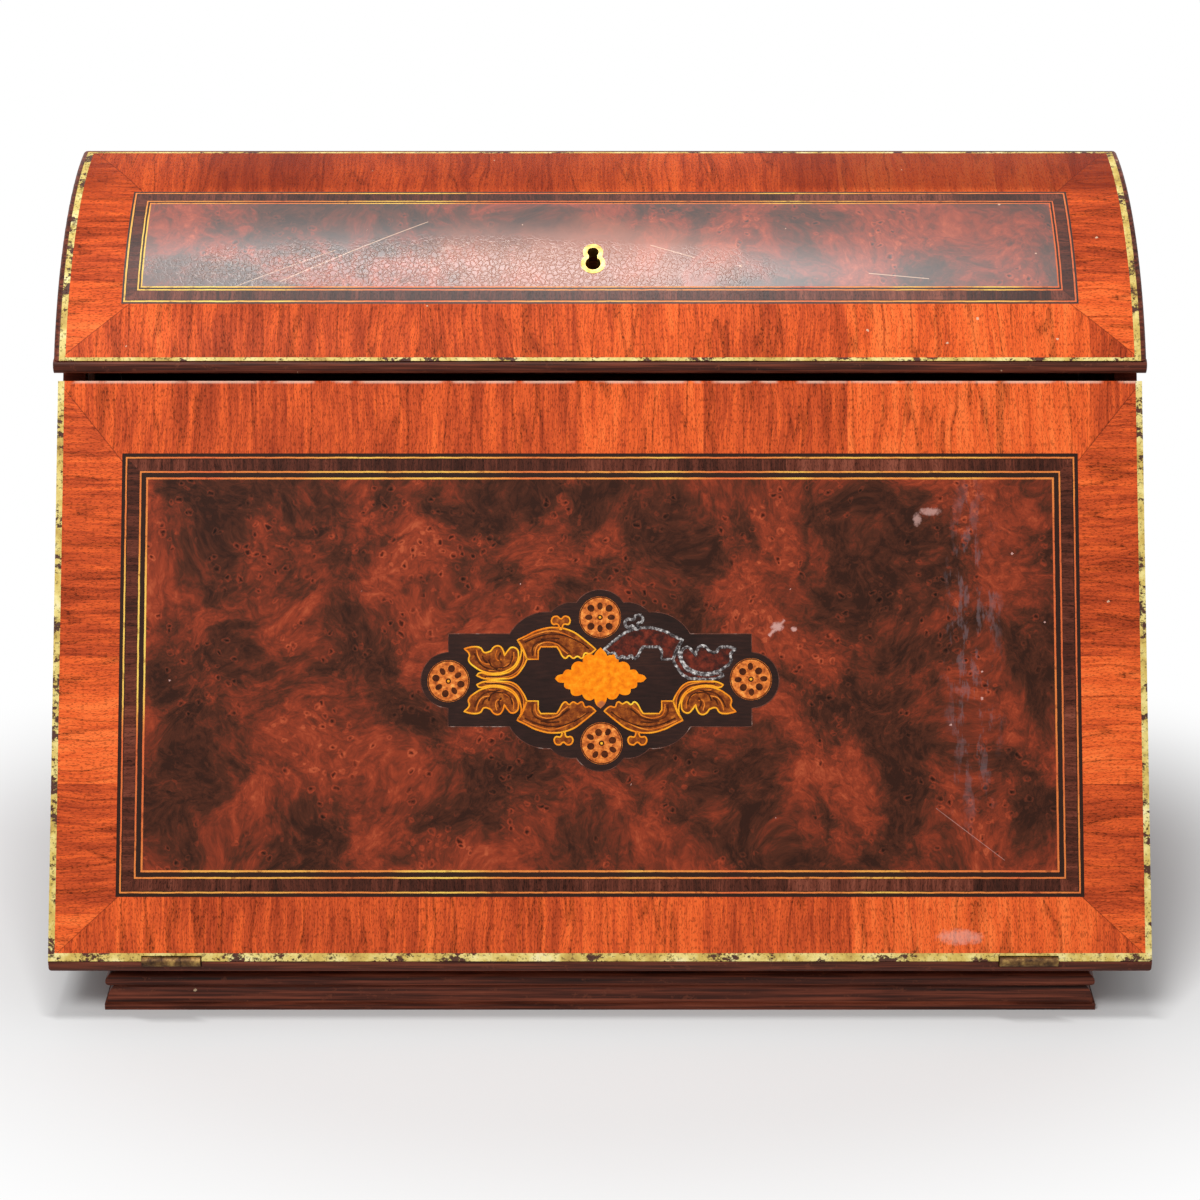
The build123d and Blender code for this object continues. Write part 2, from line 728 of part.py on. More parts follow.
# Pale edging on the lid's front, rear and curved side edges
with BuildPart() as lid_edging:
    inner = dome_radius - edge_depth
    for side in (-1, 1):
        x0, x1 = sorted((side * veneer_half, side * (veneer_half + lid_edge_width)))
        dome_strip(inner, dome_radius, dome_low, rear_edge_end, x0, x1)
    dome_strip(inner, dome_radius, dome_low, dome_low + front_edge_angle, -veneer_half, veneer_half)
    dome_strip(inner, dome_radius, rear_edge_start, rear_edge_end, -veneer_half, veneer_half)
    side_shape(
        ((front, lid_foot), (front, rail_top), (back, rail_top), (back, lid_foot)),
        -lid_half, lid_half, mode=Mode.SUBTRACT,
    )
save(lid_edging.part, "lid_edging")

lid_field = (veneer_half, dome_low + front_edge_angle, rear_edge_start)
lid_frame = (lid_frame_half, lid_frame_low, lid_frame_high)
lid_band_field = shrink(lid_frame, lid_outer_string, round_dome(lid_outer_string))
lid_inner_field = shrink(lid_band_field, lid_band, round_dome(lid_band))
lid_panel_field = shrink(lid_inner_field, lid_inner_string, round_dome(lid_inner_string))

with BuildPart() as lid_crossbanding:
    dome_ring(lid_field, lid_frame, veneer)
save(lid_crossbanding.part, "lid_crossbanding")

with BuildPart() as lid_stringing:
    dome_ring(lid_frame, lid_band_field, veneer)
    dome_ring(lid_inner_field, lid_panel_field, veneer)
save(lid_stringing.part, "lid_stringing")

with BuildPart() as lid_kingwood_band:
    dome_ring(lid_band_field, lid_inner_field, veneer)
save(lid_kingwood_band.part, "lid_kingwood_band")

with BuildPart() as lid_burr_panel:
    dome_strip(bed_radius, dome_radius, lid_panel_field[1], lid_panel_field[2], -lid_panel_field[0], lid_panel_field[0])
    keyhole_shape(key_plane.offset(1), liner_wall, -liner_depth, Mode.SUBTRACT)
save(lid_burr_panel.part, "lid_burr_panel")

# The keyhole is lined with brass.
with BuildPart() as keyhole_liner:
    keyhole_shape(key_plane, liner_wall, -liner_depth)
    keyhole_shape(key_plane, 0, -liner_depth, Mode.SUBTRACT)
save(keyhole_liner.part, "keyhole_liner")

# A wooden block fills the hollow of the dome behind the keyhole and carries the lock.
lock_low = -lock_down
plate_plane = key_plane.offset(-lock_behind)


def lock_rectangle(half_width, margin=0.0):
    with Locations((0, (lock_up + lock_low) / 2)):
        Rectangle(2 * half_width, lock_up - lock_low - 2 * margin)


lock_screw_spots = [
    (side * (lock_half_width + lock_flange / 2), y)
    for side in (-1, 1)
    for y in (lock_up - lock_flange / 2, lock_low + lock_flange)
]

with BuildPart() as lock_block:
    with BuildSketch(plate_plane) as block_face:
        lock_rectangle(lock_block_half)
    extrude(amount=lock_behind)
    cutter_low = dome_low - 20
    dome_strip(
        lid_inner_radius - seat, dome_radius + 2 * board, cutter_low, dome_high + 10,
        key_x - lock_block_half - 1, key_x + lock_block_half + 1, Mode.SUBTRACT,
    )
    slab(-lid_half, lid_half, front, back, 0, rail_top + seat, mode=Mode.SUBTRACT)
    keyhole_shape(plate_plane, 0, lock_behind, Mode.SUBTRACT)
    bolt_box(flap_length + 1, flap_length + bolt_length + lock_recess, bolt_clearance, Mode.SUBTRACT)
    with BuildSketch(plate_plane) as screw_holes_sketch:
        with Locations(*lock_screw_spots):
            Circle(lock_screw_radius + hinge_clearance)
    extrude(amount=lock_behind, mode=Mode.SUBTRACT)
save(lock_block.part, "lock_block")

with BuildPart() as lock_case:
    with BuildSketch(plate_plane) as plate_face:
        lock_rectangle(lock_block_half)
        with Locations(*lock_screw_spots):
            Circle(lock_screw_radius + hinge_clearance, mode=Mode.SUBTRACT)
    extrude(amount=-lock_plate)
    with BuildSketch(plate_plane) as box_face:
        lock_rectangle(lock_half_width, 1.0)
    extrude(amount=-lock_depth)
    keyhole_shape(plate_plane, 0, -lock_hollow, Mode.SUBTRACT)
    slab(-lid_half, lid_half, front, back, 0, lid_foot + seat, mode=Mode.SUBTRACT)
save(lock_case.part, "lock_case")

# The pin that a hollow key turns on
with BuildPart() as key_pin:
    with BuildSketch(plate_plane.offset(-lock_hollow)) as pin_face:
        with Locations((0, key_rise)):
            Circle(key_pin_radius)
    extrude(amount=lock_hollow + key_pin_proud)
save(key_pin.part, "key_pin")

with BuildPart() as lock_screws:
    with BuildSketch(plate_plane.offset(-lock_plate)) as heads:
        with Locations(*lock_screw_spots):
            Circle(2 * lock_screw_radius)
    extrude(amount=-lock_screw_radius)
    with BuildSketch(plate_plane.offset(-lock_plate)) as shanks:
        with Locations(*lock_screw_spots):
            Circle(lock_screw_radius)
    extrude(amount=lock_plate + lock_screw_grip)
save(lock_screws.part, "lock_screws")

# The bolt slides in the lid's thickness, down into the flap's top edge.
bolt_start = (lid_foot + bolt_rest_gap - flap_foot - bolt_centre * sin(lean) + bolt_thickness / 2 * sin(lean)) / cos(lean)
with BuildPart() as lock_bolt:
    bolt_box(bolt_start, bolt_start + bolt_length, 0, Mode.ADD)
save(lock_bolt.part, "lock_bolt")

# A small peg under the lid's edge meets the flap's top edge.
peg_y = flap_top_y + flap_thickness / 2 * cos(lean)
peg_low = flap_top_z - flap_thickness / 2 * sin(lean) + peg_radius * tan(lean) + peg_gap
with BuildPart() as rest_peg:
    with BuildSketch(Plane.XY.offset(peg_low)) as peg_face:
        with Locations((peg_x, peg_y)):
            Circle(peg_radius)
    extrude(amount=lid_foot - peg_low)
save(rest_peg.part, "rest_peg")

# Hinge leaves, pins and screws
save(hinge_leaves(lid_hinge, case_leaf_z, -1, True), "lid_hinge_case_leaves")
save(hinge_leaves(lid_hinge, lid_leaf_z, -1, False), "lid_hinge_lid_leaves")
save(hinge_leaves(flap_hinge, base_leaf_z, 1, True), "flap_hinge_base_leaves")
save(hinge_leaves(flap_hinge, flap_leaf_z, 1, False), "flap_hinge_flap_leaves")

with BuildPart() as hinge_pins:
    for x in lid_hinges:
        tube_x(hinge_pin_radius, *lid_pin, x - lid_hinge_length / 2, x + lid_hinge_length / 2)
    for x in flap_hinges:
        tube_x(hinge_pin_radius, *flap_pin, x - flap_hinge_length / 2, x + flap_hinge_length / 2)
save(hinge_pins.part, "hinge_pins")

with BuildPart() as lid_hinge_screws:
    screw_shanks(lid_hinge, lid_foot, hinge_screw_length, -1)
save(lid_hinge_screws.part, "lid_hinge_screws")

with BuildPart() as flap_hinge_screws:
    screw_shanks(flap_hinge, flap_foot, flap_screw_length, 1)
save(flap_hinge_screws.part, "flap_hinge_screws")

with BuildPart() as case_hinge_screws:
    screw_shanks(lid_hinge, parting, -hinge_screw_length, -1)
    screw_shanks(flap_hinge, base_top, -base_screw_length, 1)
save(case_hinge_screws.part, "case_hinge_screws")

# The stand at the front holds an inkwell in each end and the pen tray between them.
stand_y0 = front + stand_front
stand_y1 = front + stand_rear
stand_half = inner_half - seat
well_half = stand_half - well_inside
with BuildPart() as ink_stand:
    slab(-stand_half, stand_half, stand_y0, stand_y0 + stand_board, floor_top, floor_top + stand_front_height)
    slab(-stand_half, stand_half, stand_y1 - stand_board, stand_y1, floor_top, floor_top + stand_rear_height)
    for side in (-1, 1):
        x0, x1 = sorted((side * well_half, side * (well_half - stand_board)))
        slab(x0, x1, stand_y0 + stand_board, stand_y1 - stand_board, floor_top, floor_top + stand_front_height)
        x2, x3 = sorted((side * (well_half - stand_board), side * (well_half - stand_board - bearer_width)))
        slab(x2, x3, stand_y0 + stand_board, stand_y1 - stand_board, floor_top, floor_top + bearer_height)
save(ink_stand.part, "ink_stand")

tray_half = well_half - stand_board - 0.4
tray_y0 = stand_y0 + stand_board + 0.4
tray_y1 = stand_y1 - stand_board - 0.4
tray_low = floor_top + bearer_height
tray_top = tray_low + tray_height
with BuildPart() as pen_tray:
    slab(-tray_half, tray_half, tray_y0, tray_y1, tray_low, tray_top)
    fillet(pen_tray.edges().filter_by(Axis.Z), radius=2)
    centre_y = (tray_y0 + tray_y1) / 2
    tube_x(
        tray_trough_radius, centre_y, tray_top + tray_trough_radius - tray_trough_depth,
        -tray_half + tray_end_wall, tray_half - tray_end_wall, mode=Mode.SUBTRACT,
    )
save(pen_tray.part, "pen_tray")

# Each inkwell is a glass block with a brass collar and a hinged cap.
well_x = well_half + well_inside / 2
well_y = (stand_y0 + stand_y1) / 2
well_top = floor_top + inkwell_height
collar_top = well_top + collar_height
cap_pin_y = well_y + collar_radius + cap_pin_radius + 0.8
cap_pin_z = collar_top
for name, side in (("left", -1), ("right", 1)):
    x = side * well_x
    with BuildPart() as inkwell:
        slab(
            x - inkwell_size / 2, x + inkwell_size / 2,
            well_y - inkwell_size / 2, well_y + inkwell_size / 2, floor_top, well_top,
        )
        fillet(inkwell.edges().filter_by(Axis.Z), radius=3)
        chamfer(inkwell.faces().sort_by(Axis.Z)[-1].edges(), length=1.5)
        with BuildSketch(Plane.XY.offset(well_top)) as bore:
            with Locations((x, well_y)):
                Circle(inkwell_bore)
        extrude(amount=-inkwell_bore_depth, mode=Mode.SUBTRACT)
    save(inkwell.part, f"inkwell_{name}")

    with BuildPart() as collar:
        with BuildSketch(Plane.XY.offset(well_top)) as ring:
            with Locations((x, well_y)):
                Circle(collar_radius)
                Circle(inkwell_bore, mode=Mode.SUBTRACT)
        extrude(amount=collar_height)
        lug_half = cap_lug_length / 2
        for s in (-1, 1):
            x0, x1 = sorted((x + s * lug_half, x + s * (lug_half - 2)))
            slab(x0, x1, well_y + collar_radius - 1, cap_pin_y + 1, well_top, cap_pin_z - 0.2)
            tube_x(1.6, cap_pin_y, cap_pin_z, x0, x1)
        tube_x(cap_pin_radius, cap_pin_y, cap_pin_z, x - lug_half + 1, x + lug_half - 1)
    save(collar.part, f"inkwell_{name}_collar")

    with BuildPart() as cap:
        with BuildSketch(Plane.XY.offset(collar_top + 0.2)) as disc:
            with Locations((x, well_y)):
                Circle(collar_radius)
        extrude(amount=cap_height)
        fillet(cap.faces().sort_by(Axis.Z)[-1].edges(), radius=cap_height * 0.7)
        tongue = lug_half - 2 - 0.3
        slab(x - tongue, x + tongue, well_y + collar_radius - 1.5, cap_pin_y, collar_top + 0.3, collar_top + 1.6)
        tube_x(1.6, cap_pin_y, cap_pin_z, x - tongue, x + tongue)
        tube_x(cap_pin_radius + hinge_clearance, cap_pin_y, cap_pin_z, x - tongue, x + tongue, mode=Mode.SUBTRACT)
    save(cap.part, f"inkwell_{name}_cap")

# The letter rack: two cheeks with grooves, and dividers that rise to the back.
rack_y0 = stand_y1 + seat
rack_y1 = inner_back - seat
cheek_outer = inner_half - seat
cheek_inner = cheek_outer - cheek
cheek_points = (
    (rack_y0, floor_top),
    (rack_y1, floor_top),
    (rack_y1, floor_top + cheek_rear_height),
    (rack_y1 - 12, floor_top + cheek_rear_height),
    (rack_y0, floor_top + cheek_front_height),
)
divider_ys = [rack_y0 + divider_first + divider_pitch * n for n in range(len(divider_heights))]
for name, side in (("left", -1), ("right", 1)):
    x0, x1 = sorted((side * cheek_outer, side * cheek_inner))
    g0, g1 = sorted((side * cheek_inner, side * (cheek_inner + cheek_groove)))
    with BuildPart() as rack_cheek:
        side_shape(cheek_points, x0, x1)
        for y, height in zip(divider_ys, divider_heights):
            slab(
                g0, g1, y - divider / 2 - seat / 2, y + divider / 2 + seat / 2,
                floor_top - 1, floor_top + cheek_rear_height + 1, mode=Mode.SUBTRACT,
            )
    save(rack_cheek.part, f"rack_cheek_{name}")

for number, (y, height) in enumerate(zip(divider_ys, divider_heights), start=1):
    reach = cheek_inner + cheek_groove - seat
    with BuildPart() as rack_divider:
        slab(-reach, reach, y - divider / 2, y + divider / 2, floor_top, floor_top + height)
    save(rack_divider.part, f"rack_divider_{number}")

case_nodes = len([f for f in os.listdir("parts") if f.endswith(".step")])
print(f"{case_nodes} parts, parting at {parting:.2f}, flap top at {flap_top_y:.2f}, {flap_top_z:.2f}")
print(f"lid pin {lid_pin}, flap pin {flap_pin}, dome from {dome_low:.2f} to {dome_high:.2f} degrees")
print(f"flap may open {180 - (90 - flap_lean) + degrees(asin((flap_pin[1]) / flap_length)):.1f} degrees")
print(f"well at {well_x:.2f}, {well_y:.2f}, cap pin {cap_pin_y:.2f}, {cap_pin_z:.2f}")
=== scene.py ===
"""A writing slope with a domed lid: its finishes, inlay, worn edges, lights and camera."""

from math import cos, hypot, pi, radians, sin, sqrt

import bmesh
import bpy
from mathutils import Matrix, Vector


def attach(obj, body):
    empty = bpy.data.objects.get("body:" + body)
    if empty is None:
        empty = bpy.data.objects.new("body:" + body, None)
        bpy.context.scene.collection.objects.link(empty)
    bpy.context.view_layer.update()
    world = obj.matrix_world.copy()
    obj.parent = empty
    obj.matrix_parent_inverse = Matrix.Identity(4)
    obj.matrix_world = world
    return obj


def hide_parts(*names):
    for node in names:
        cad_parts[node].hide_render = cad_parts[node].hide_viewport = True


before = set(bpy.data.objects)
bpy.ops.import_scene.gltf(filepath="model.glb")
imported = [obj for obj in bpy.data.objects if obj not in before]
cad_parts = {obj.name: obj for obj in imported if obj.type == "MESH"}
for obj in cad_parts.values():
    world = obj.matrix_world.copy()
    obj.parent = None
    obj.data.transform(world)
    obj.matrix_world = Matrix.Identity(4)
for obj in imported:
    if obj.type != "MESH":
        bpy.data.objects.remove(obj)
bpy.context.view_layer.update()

bl_info = {
    "name": "Writing Slope",
    "version": (1, 0, 0),
    "blender": (4, 5, 0),
    "location": "View3D > Sidebar > Writing Slope",
    "description": "Finishes and details of a veneered writing slope",
    "category": "Object",
}

MM = 0.001
WHITE = (1.0, 1.0, 1.0, 1.0)

# The frame's sizes that the finishes follow, in millimetres.
LEAN = radians(30.2)
UP_SLOPE = Vector((0, sin(LEAN), cos(LEAN)))
OUTWARD = Vector((0, -cos(LEAN), sin(LEAN)))
FLAP_FOOT = Vector((0, -85.25 * MM, 20.25 * MM))
FLAP_LENGTH = 180.7
HALF = 170.0
DOME_Y = 94.45
DOME_Z = 120.1
DOME_RADIUS = 108.2
CARTOUCHE_UP = 86.7                  # the cartouche's middle above the flap's foot
FLAP_SIDE_BAND = 18.5                # widths of the crossbanding
FLAP_FOOT_BAND = 17.2
FLAP_TOP_BAND = 22.9
FLAP_FRAME = (149.5, 19.7, 157.8)    # half width, low and high edge of the strings
LID_BAND_HALF = 167.5
LID_SIDE_BAND = 19.5
LID_BAND = [radians(angle) * DOME_RADIUS for angle in (36.5, 84.4)]
LID_FRAME_HALF = 150.7
LID_FRAME = [radians(angle) * DOME_RADIUS for angle in (45.6, 70.3)]
LEATHER_FRAME = (149.0, 22.0, 166.7)


def paint(red, green, blue):
    """A screen colour, 0 to 255, as the linear colour that a shader takes."""
    channels = []
    for value in (red, green, blue):
        share = value / 255
        channels.append(share / 12.92 if share <= 0.04045 else ((share + 0.055) / 1.055) ** 2.4)
    return (*channels, 1.0)


class Signal:
    """A shader socket that takes part in arithmetic."""

    def __init__(self, nodes, socket):
        self.nodes = nodes
        self.socket = socket

    def maths(self, operation, *values):
        return self.nodes.add("ShaderNodeMath", {"operation": operation}, dict(enumerate(values)))

    def __add__(self, other):
        return self.maths("ADD", self, other)

    __radd__ = __add__

    def __sub__(self, other):
        return self.maths("SUBTRACT", self, other)

    def __rsub__(self, other):
        return self.maths("SUBTRACT", other, self)

    def __mul__(self, other):
        return self.maths("MULTIPLY", self, other)

    __rmul__ = __mul__

    def __truediv__(self, other):
        return self.maths("DIVIDE", self, other)

    def __pow__(self, other):
        return self.maths("POWER", self, other)

    def __abs__(self):
        return self.maths("ABSOLUTE", self)

    def __lt__(self, other):
        return self.maths("LESS_THAN", self, other)

    def __gt__(self, other):
        return self.maths("GREATER_THAN", self, other)


class Nodes:
    """A node tree whose nodes are added one at a time."""

    def __init__(self, tree):
        self.tree = tree

    def add(self, kind, settings=None, values=None, output=0):
        """One node: its settings first, then the values or links of its sockets."""
        node = self.tree.nodes.new(kind)
        for key, setting in (settings or {}).items():
            if key == "stops":
                self.set_stops(node.color_ramp, setting)
            else:
                setattr(node, key, setting)
        for key, value in (values or {}).items():
            if isinstance(value, Signal):
                self.tree.links.new(value.socket, node.inputs[key])
            else:
                node.inputs[key].default_value = value
        return Signal(self, node.outputs[output])

    def set_stops(self, ramp, stops):
        while len(ramp.elements) < len(stops):
            ramp.elements.new(1.0)
        for element, (position, colour) in zip(ramp.elements, stops):
            element.position = position
            element.color = colour


class Finish(Nodes):
    """A material, with the places, textures and mixes that the finishes share."""

    def __init__(self, name, roughness=0.4, specular=0.3, metallic=0.0):
        self.material = bpy.data.materials.new(name)
        self.material.use_nodes = True
        super().__init__(self.material.node_tree)
        self.shader = self.tree.nodes["Principled BSDF"].inputs
        self.shader["Roughness"].default_value = roughness
        self.shader["Specular IOR Level"].default_value = specular
        self.shader["Metallic"].default_value = metallic

    def join(self, x, y, z=0.0):
        return self.add("ShaderNodeCombineXYZ", values={"X": x, "Y": y, "Z": z})

    def part(self, vector):
        node = self.add("ShaderNodeSeparateXYZ", values={0: vector}).socket.node
        return [Signal(self, socket) for socket in node.outputs]

    def place(self):
        """The point on the object, in millimetres."""
        point = self.add("ShaderNodeTexCoord", output="Object")
        scaled = self.add("ShaderNodeVectorMath", {"operation": "SCALE"}, {0: point, "Scale": 1 / MM})
        return self.part(scaled)

    def flap_place(self):
        """Across and up the flap's outer face, from the middle of its foot."""
        x, y, z = self.place()
        up = (y - FLAP_FOOT.y / MM) * UP_SLOPE.y + (z - FLAP_FOOT.z / MM) * UP_SLOPE.z
        return x, up

    def lid_place(self):
        """Across and round the lid's dome, from the level of its centre."""
        x, y, z = self.place()
        angle = self.add("ShaderNodeMath", {"operation": "ARCTAN2"}, {0: z - DOME_Z, 1: DOME_Y - y})
        return x, angle * DOME_RADIUS

    def noise(self, point, scale=1.0, detail=2.0, rough=0.5, bend=0.0, output="Fac"):
        values = {"Vector": point, "Scale": scale, "Detail": detail, "Roughness": rough, "Distortion": bend}
        return self.add("ShaderNodeTexNoise", {"noise_dimensions": "3D"}, values, output)

    def cells(self, point, scale=1.0, feature="F1", scatter=1.0, output="Distance"):
        settings = {"voronoi_dimensions": "3D", "feature": feature}
        values = {"Vector": point, "Scale": scale, "Randomness": scatter}
        return self.add("ShaderNodeTexVoronoi", settings, values, output)

    def between(self, value, low, high):
        """Rises smoothly from 0 to 1 as the value goes from low to high."""
        values = {"Value": value, "From Min": low, "From Max": high}
        return self.add("ShaderNodeMapRange", {"interpolation_type": "SMOOTHSTEP"}, values)

    def least(self, first, *others):
        for other in others:
            first = first.maths("MINIMUM", first, other)
        return first

    def most(self, first, *others):
        for other in others:
            first = first.maths("MAXIMUM", first, other)
        return first

    def ramp(self, value, *stops):
        return self.add("ShaderNodeValToRGB", {"stops": stops}, {"Fac": value})

    def mix(self, share, first, second, blend_type="MIX"):
        settings = {"data_type": "RGBA", "blend_type": blend_type}
        return self.add("ShaderNodeMix", settings, {0: share, 6: first, 7: second}, output=2)

    def darken(self, colour, shade):
        return self.mix(1.0, colour, self.join(shade, shade, shade), "MULTIPLY")

    def shift(self, point, push, amount):
        """The point moved by a colour's three channels about their middle."""
        centred = self.add("ShaderNodeVectorMath", {"operation": "SUBTRACT"}, {0: push, 1: (0.5, 0.5, 0.5)})
        settings = {"operation": "MULTIPLY_ADD"}
        return self.add("ShaderNodeVectorMath", settings, {0: centred, 1: (amount,) * 3, 2: point})

    def colour(self, value):
        if isinstance(value, Signal):
            self.tree.links.new(value.socket, self.shader["Base Color"])
        else:
            self.shader["Base Color"].default_value = value

    def feed(self, socket, value):
        self.tree.links.new(value.socket, self.shader[socket])

    def bump(self, height, distance_mm, strength=1.0):
        normal = self.add(
            "ShaderNodeBump", values={"Strength": strength, "Distance": distance_mm * MM, "Height": height}
        )
        self.feed("Normal", normal)

    def dress(self, *names):
        """Gives the finish to pieces or CAD nodes."""
        for name in names:
            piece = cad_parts[name] if isinstance(name, str) else name
            if not piece.material_slots:
                piece.data.materials.append(self.material)
            for slot in piece.material_slots:
                slot.material = self.material


def polished_wood(name, roughness=0.42, specular=0.06):
    return Finish(name, roughness, specular)


def toned(tones, chosen):
    """A palette whose lightest tone is the chosen one, the rest in proportion."""
    light = tones[-1]
    return tuple(
        tuple(part * new / old for part, new, old in zip(tone[:3], chosen, light)) + (1.0,) for tone in tones
    )


def finishes():
    """The user's colours and small sizes."""
    return bpy.context.scene.slope_finishes


def crossbanded(finish, u, v, side, wood, strip_width=None):
    """Veneer strips side by side, their grain across the band; returns colour and relief."""
    strip_width = strip_width or finishes().strip_width / MM
    run = u + (v + 700.0 - u) * side
    grain = v + (u - v) * side
    strips = finish.add(
        "ShaderNodeTexVoronoi",
        {"voronoi_dimensions": "1D", "feature": "F1"},
        {"W": run, "Scale": 1 / strip_width, "Randomness": 0.85},
        "Color",
    )
    tone = finish.part(strips)[0]
    sway = finish.noise(finish.join(run * 0.03, grain * 0.04, tone * 30.0), detail=1.0)
    across = run + sway * 4.0
    figure = finish.noise(finish.join(across * 0.24, grain * 0.03, tone * 40.0), detail=4.0, rough=0.66)
    streaks = finish.noise(finish.join(across * 1.5, grain * 0.05, tone * 40.0), detail=3.0, rough=0.7)
    pores = finish.most(
        finish.between(finish.noise(finish.join(across * 3.1, grain * 0.85, 3.0), detail=1.0), 0.56, 0.63),
        finish.between(finish.noise(finish.join(across * 1.9, grain * 0.42, 8.0), detail=1.0), 0.61, 0.66),
    )
    veins = finish.noise(finish.join(across * 0.11, grain * 0.012, tone * 17.0 + 9.0), detail=2.0)
    vein = 1.0 - finish.between(abs(veins - 0.5), 0.004, 0.03)
    level = figure * 0.58 + streaks * 0.46 + tone * 0.18 - 0.11
    colour = finish.ramp(level, (0.26, wood[0]), (0.42, wood[1]), (0.54, wood[2]), (0.68, wood[3]))
    shade = 1.0 - 0.42 * pores - 0.34 * vein * finish.between(figure, 0.35, 0.5)
    colour = finish.darken(colour, shade)
    relief = streaks * 0.3 - pores
    return colour, relief


def burr_figure(finish, u, v, seed, wood):
    """Clouds, swirls and clusters of small eyes; returns colour and relief."""
    point = finish.join(u, v, seed)
    sweep = finish.shift(point, finish.noise(point, 0.022, 1.0, output="Color"), 34.0)
    curl = finish.shift(sweep, finish.noise(sweep, 0.085, 2.0, output="Color"), 8.0)
    clouds = finish.noise(curl, 0.029, 3.0, 0.55)
    light = finish.between(clouds, 0.38, 0.62)
    swirls = finish.noise(curl, 0.13, 4.0, 0.62, 1.2)
    fibres = finish.noise(finish.shift(curl, finish.noise(curl, 0.35, 1.0, output="Color"), 4.0), 0.55, 3.0, 0.7)
    groups = finish.between(finish.noise(point, 0.05, 2.0), 0.47, 0.55)
    ruffled = finish.shift(point, finish.noise(point, 0.3, 2.0, output="Color"), 3.4)
    eye = finish.cells(ruffled, 0.33)
    pick = finish.part(finish.cells(ruffled, 0.33, output="Color"))[0]
    knot = groups * (pick > 0.35)
    hole = (1.0 - finish.between(eye, 0.09, 0.22)) * knot
    halo = (1.0 - finish.between(abs(eye - 0.32), 0.03, 0.12)) * knot
    level = 0.25 + light * 0.29 + (swirls - 0.5) * 0.56 + (fibres - 0.5) * 0.40 + halo * 0.11 - groups * 0.03
    colour = finish.ramp(
        level, (0.18, wood[0]), (0.32, wood[1]), (0.44, wood[2]), (0.56, wood[3]), (0.70, wood[4])
    )
    shade = 1.0 - 0.72 * hole
    colour = finish.darken(colour, shade)
    return colour, fibres * 0.2 - hole * 0.5


def specks(finish, u, v, amount, size=0.55):
    """Small chips and dust, 0 or 1."""
    point = finish.join(u, v, 4.0)
    spot = finish.cells(point, 1 / (size * 9.0))
    pick = finish.part(finish.cells(point, 1 / (size * 9.0), output="Color"))[0]
    ragged = finish.noise(point, 2.2, 2.0)
    return (spot < ragged * 0.17) * (pick > 1.0 - amount)


def stroke(finish, u, v, start, end, width, ragged=0.0):
    """A straight scratch between two points, 0 to 1."""
    length = hypot(end[0] - start[0], end[1] - start[1])
    dx, dy = (end[0] - start[0]) / length, (end[1] - start[1]) / length
    along = (u - start[0]) * dx + (v - start[1]) * dy
    off = abs((v - start[1]) * dx - (u - start[0]) * dy)
    if ragged:
        off = off + finish.noise(finish.join(u, v, 7.0), 0.8, 2.0) * ragged
    inside = (along > 0.0) * (along < length)
    return (1.0 - finish.between(off, width * 0.3, width)) * inside


def patch(finish, u, v, centre, spread, edge_scale=0.12):
    """A soft ragged patch, 0 to 1."""
    dx = (u - centre[0]) / spread[0]
    dy = (v - centre[1]) / spread[1]
    ragged = finish.noise(finish.join(u, v, 11.0), edge_scale, 4.0, 0.65)
    return finish.between(1.0 - (dx * dx + dy * dy) + (ragged - 0.5) * 1.6, 0.1, 0.9)


TULIPWOOD = (paint(140, 50, 26), paint(196, 78, 38), paint(232, 98, 44), paint(250, 120, 58))
AMBOYNA = (paint(50, 27, 19), paint(78, 40, 27), paint(112, 48, 31), paint(146, 59, 36), paint(180, 84, 52))
KINGWOOD = (paint(46, 26, 20), paint(74, 38, 28), paint(104, 52, 38), paint(136, 74, 56))


def edge_distance(finish, u, v, half_width, low, high):
    """How far a point is inside a rectangle, in millimetres."""
    return finish.least(half_width - abs(u), v - low, high - v)


def mitre_line(finish, colour, from_side, from_ends):
    """The dark joint where two bands meet at a corner."""
    joint = 1.0 - finish.between(abs(from_side - from_ends), 0.004, 0.016)
    return finish.mix(joint * 0.55, colour, paint(40, 18, 12))


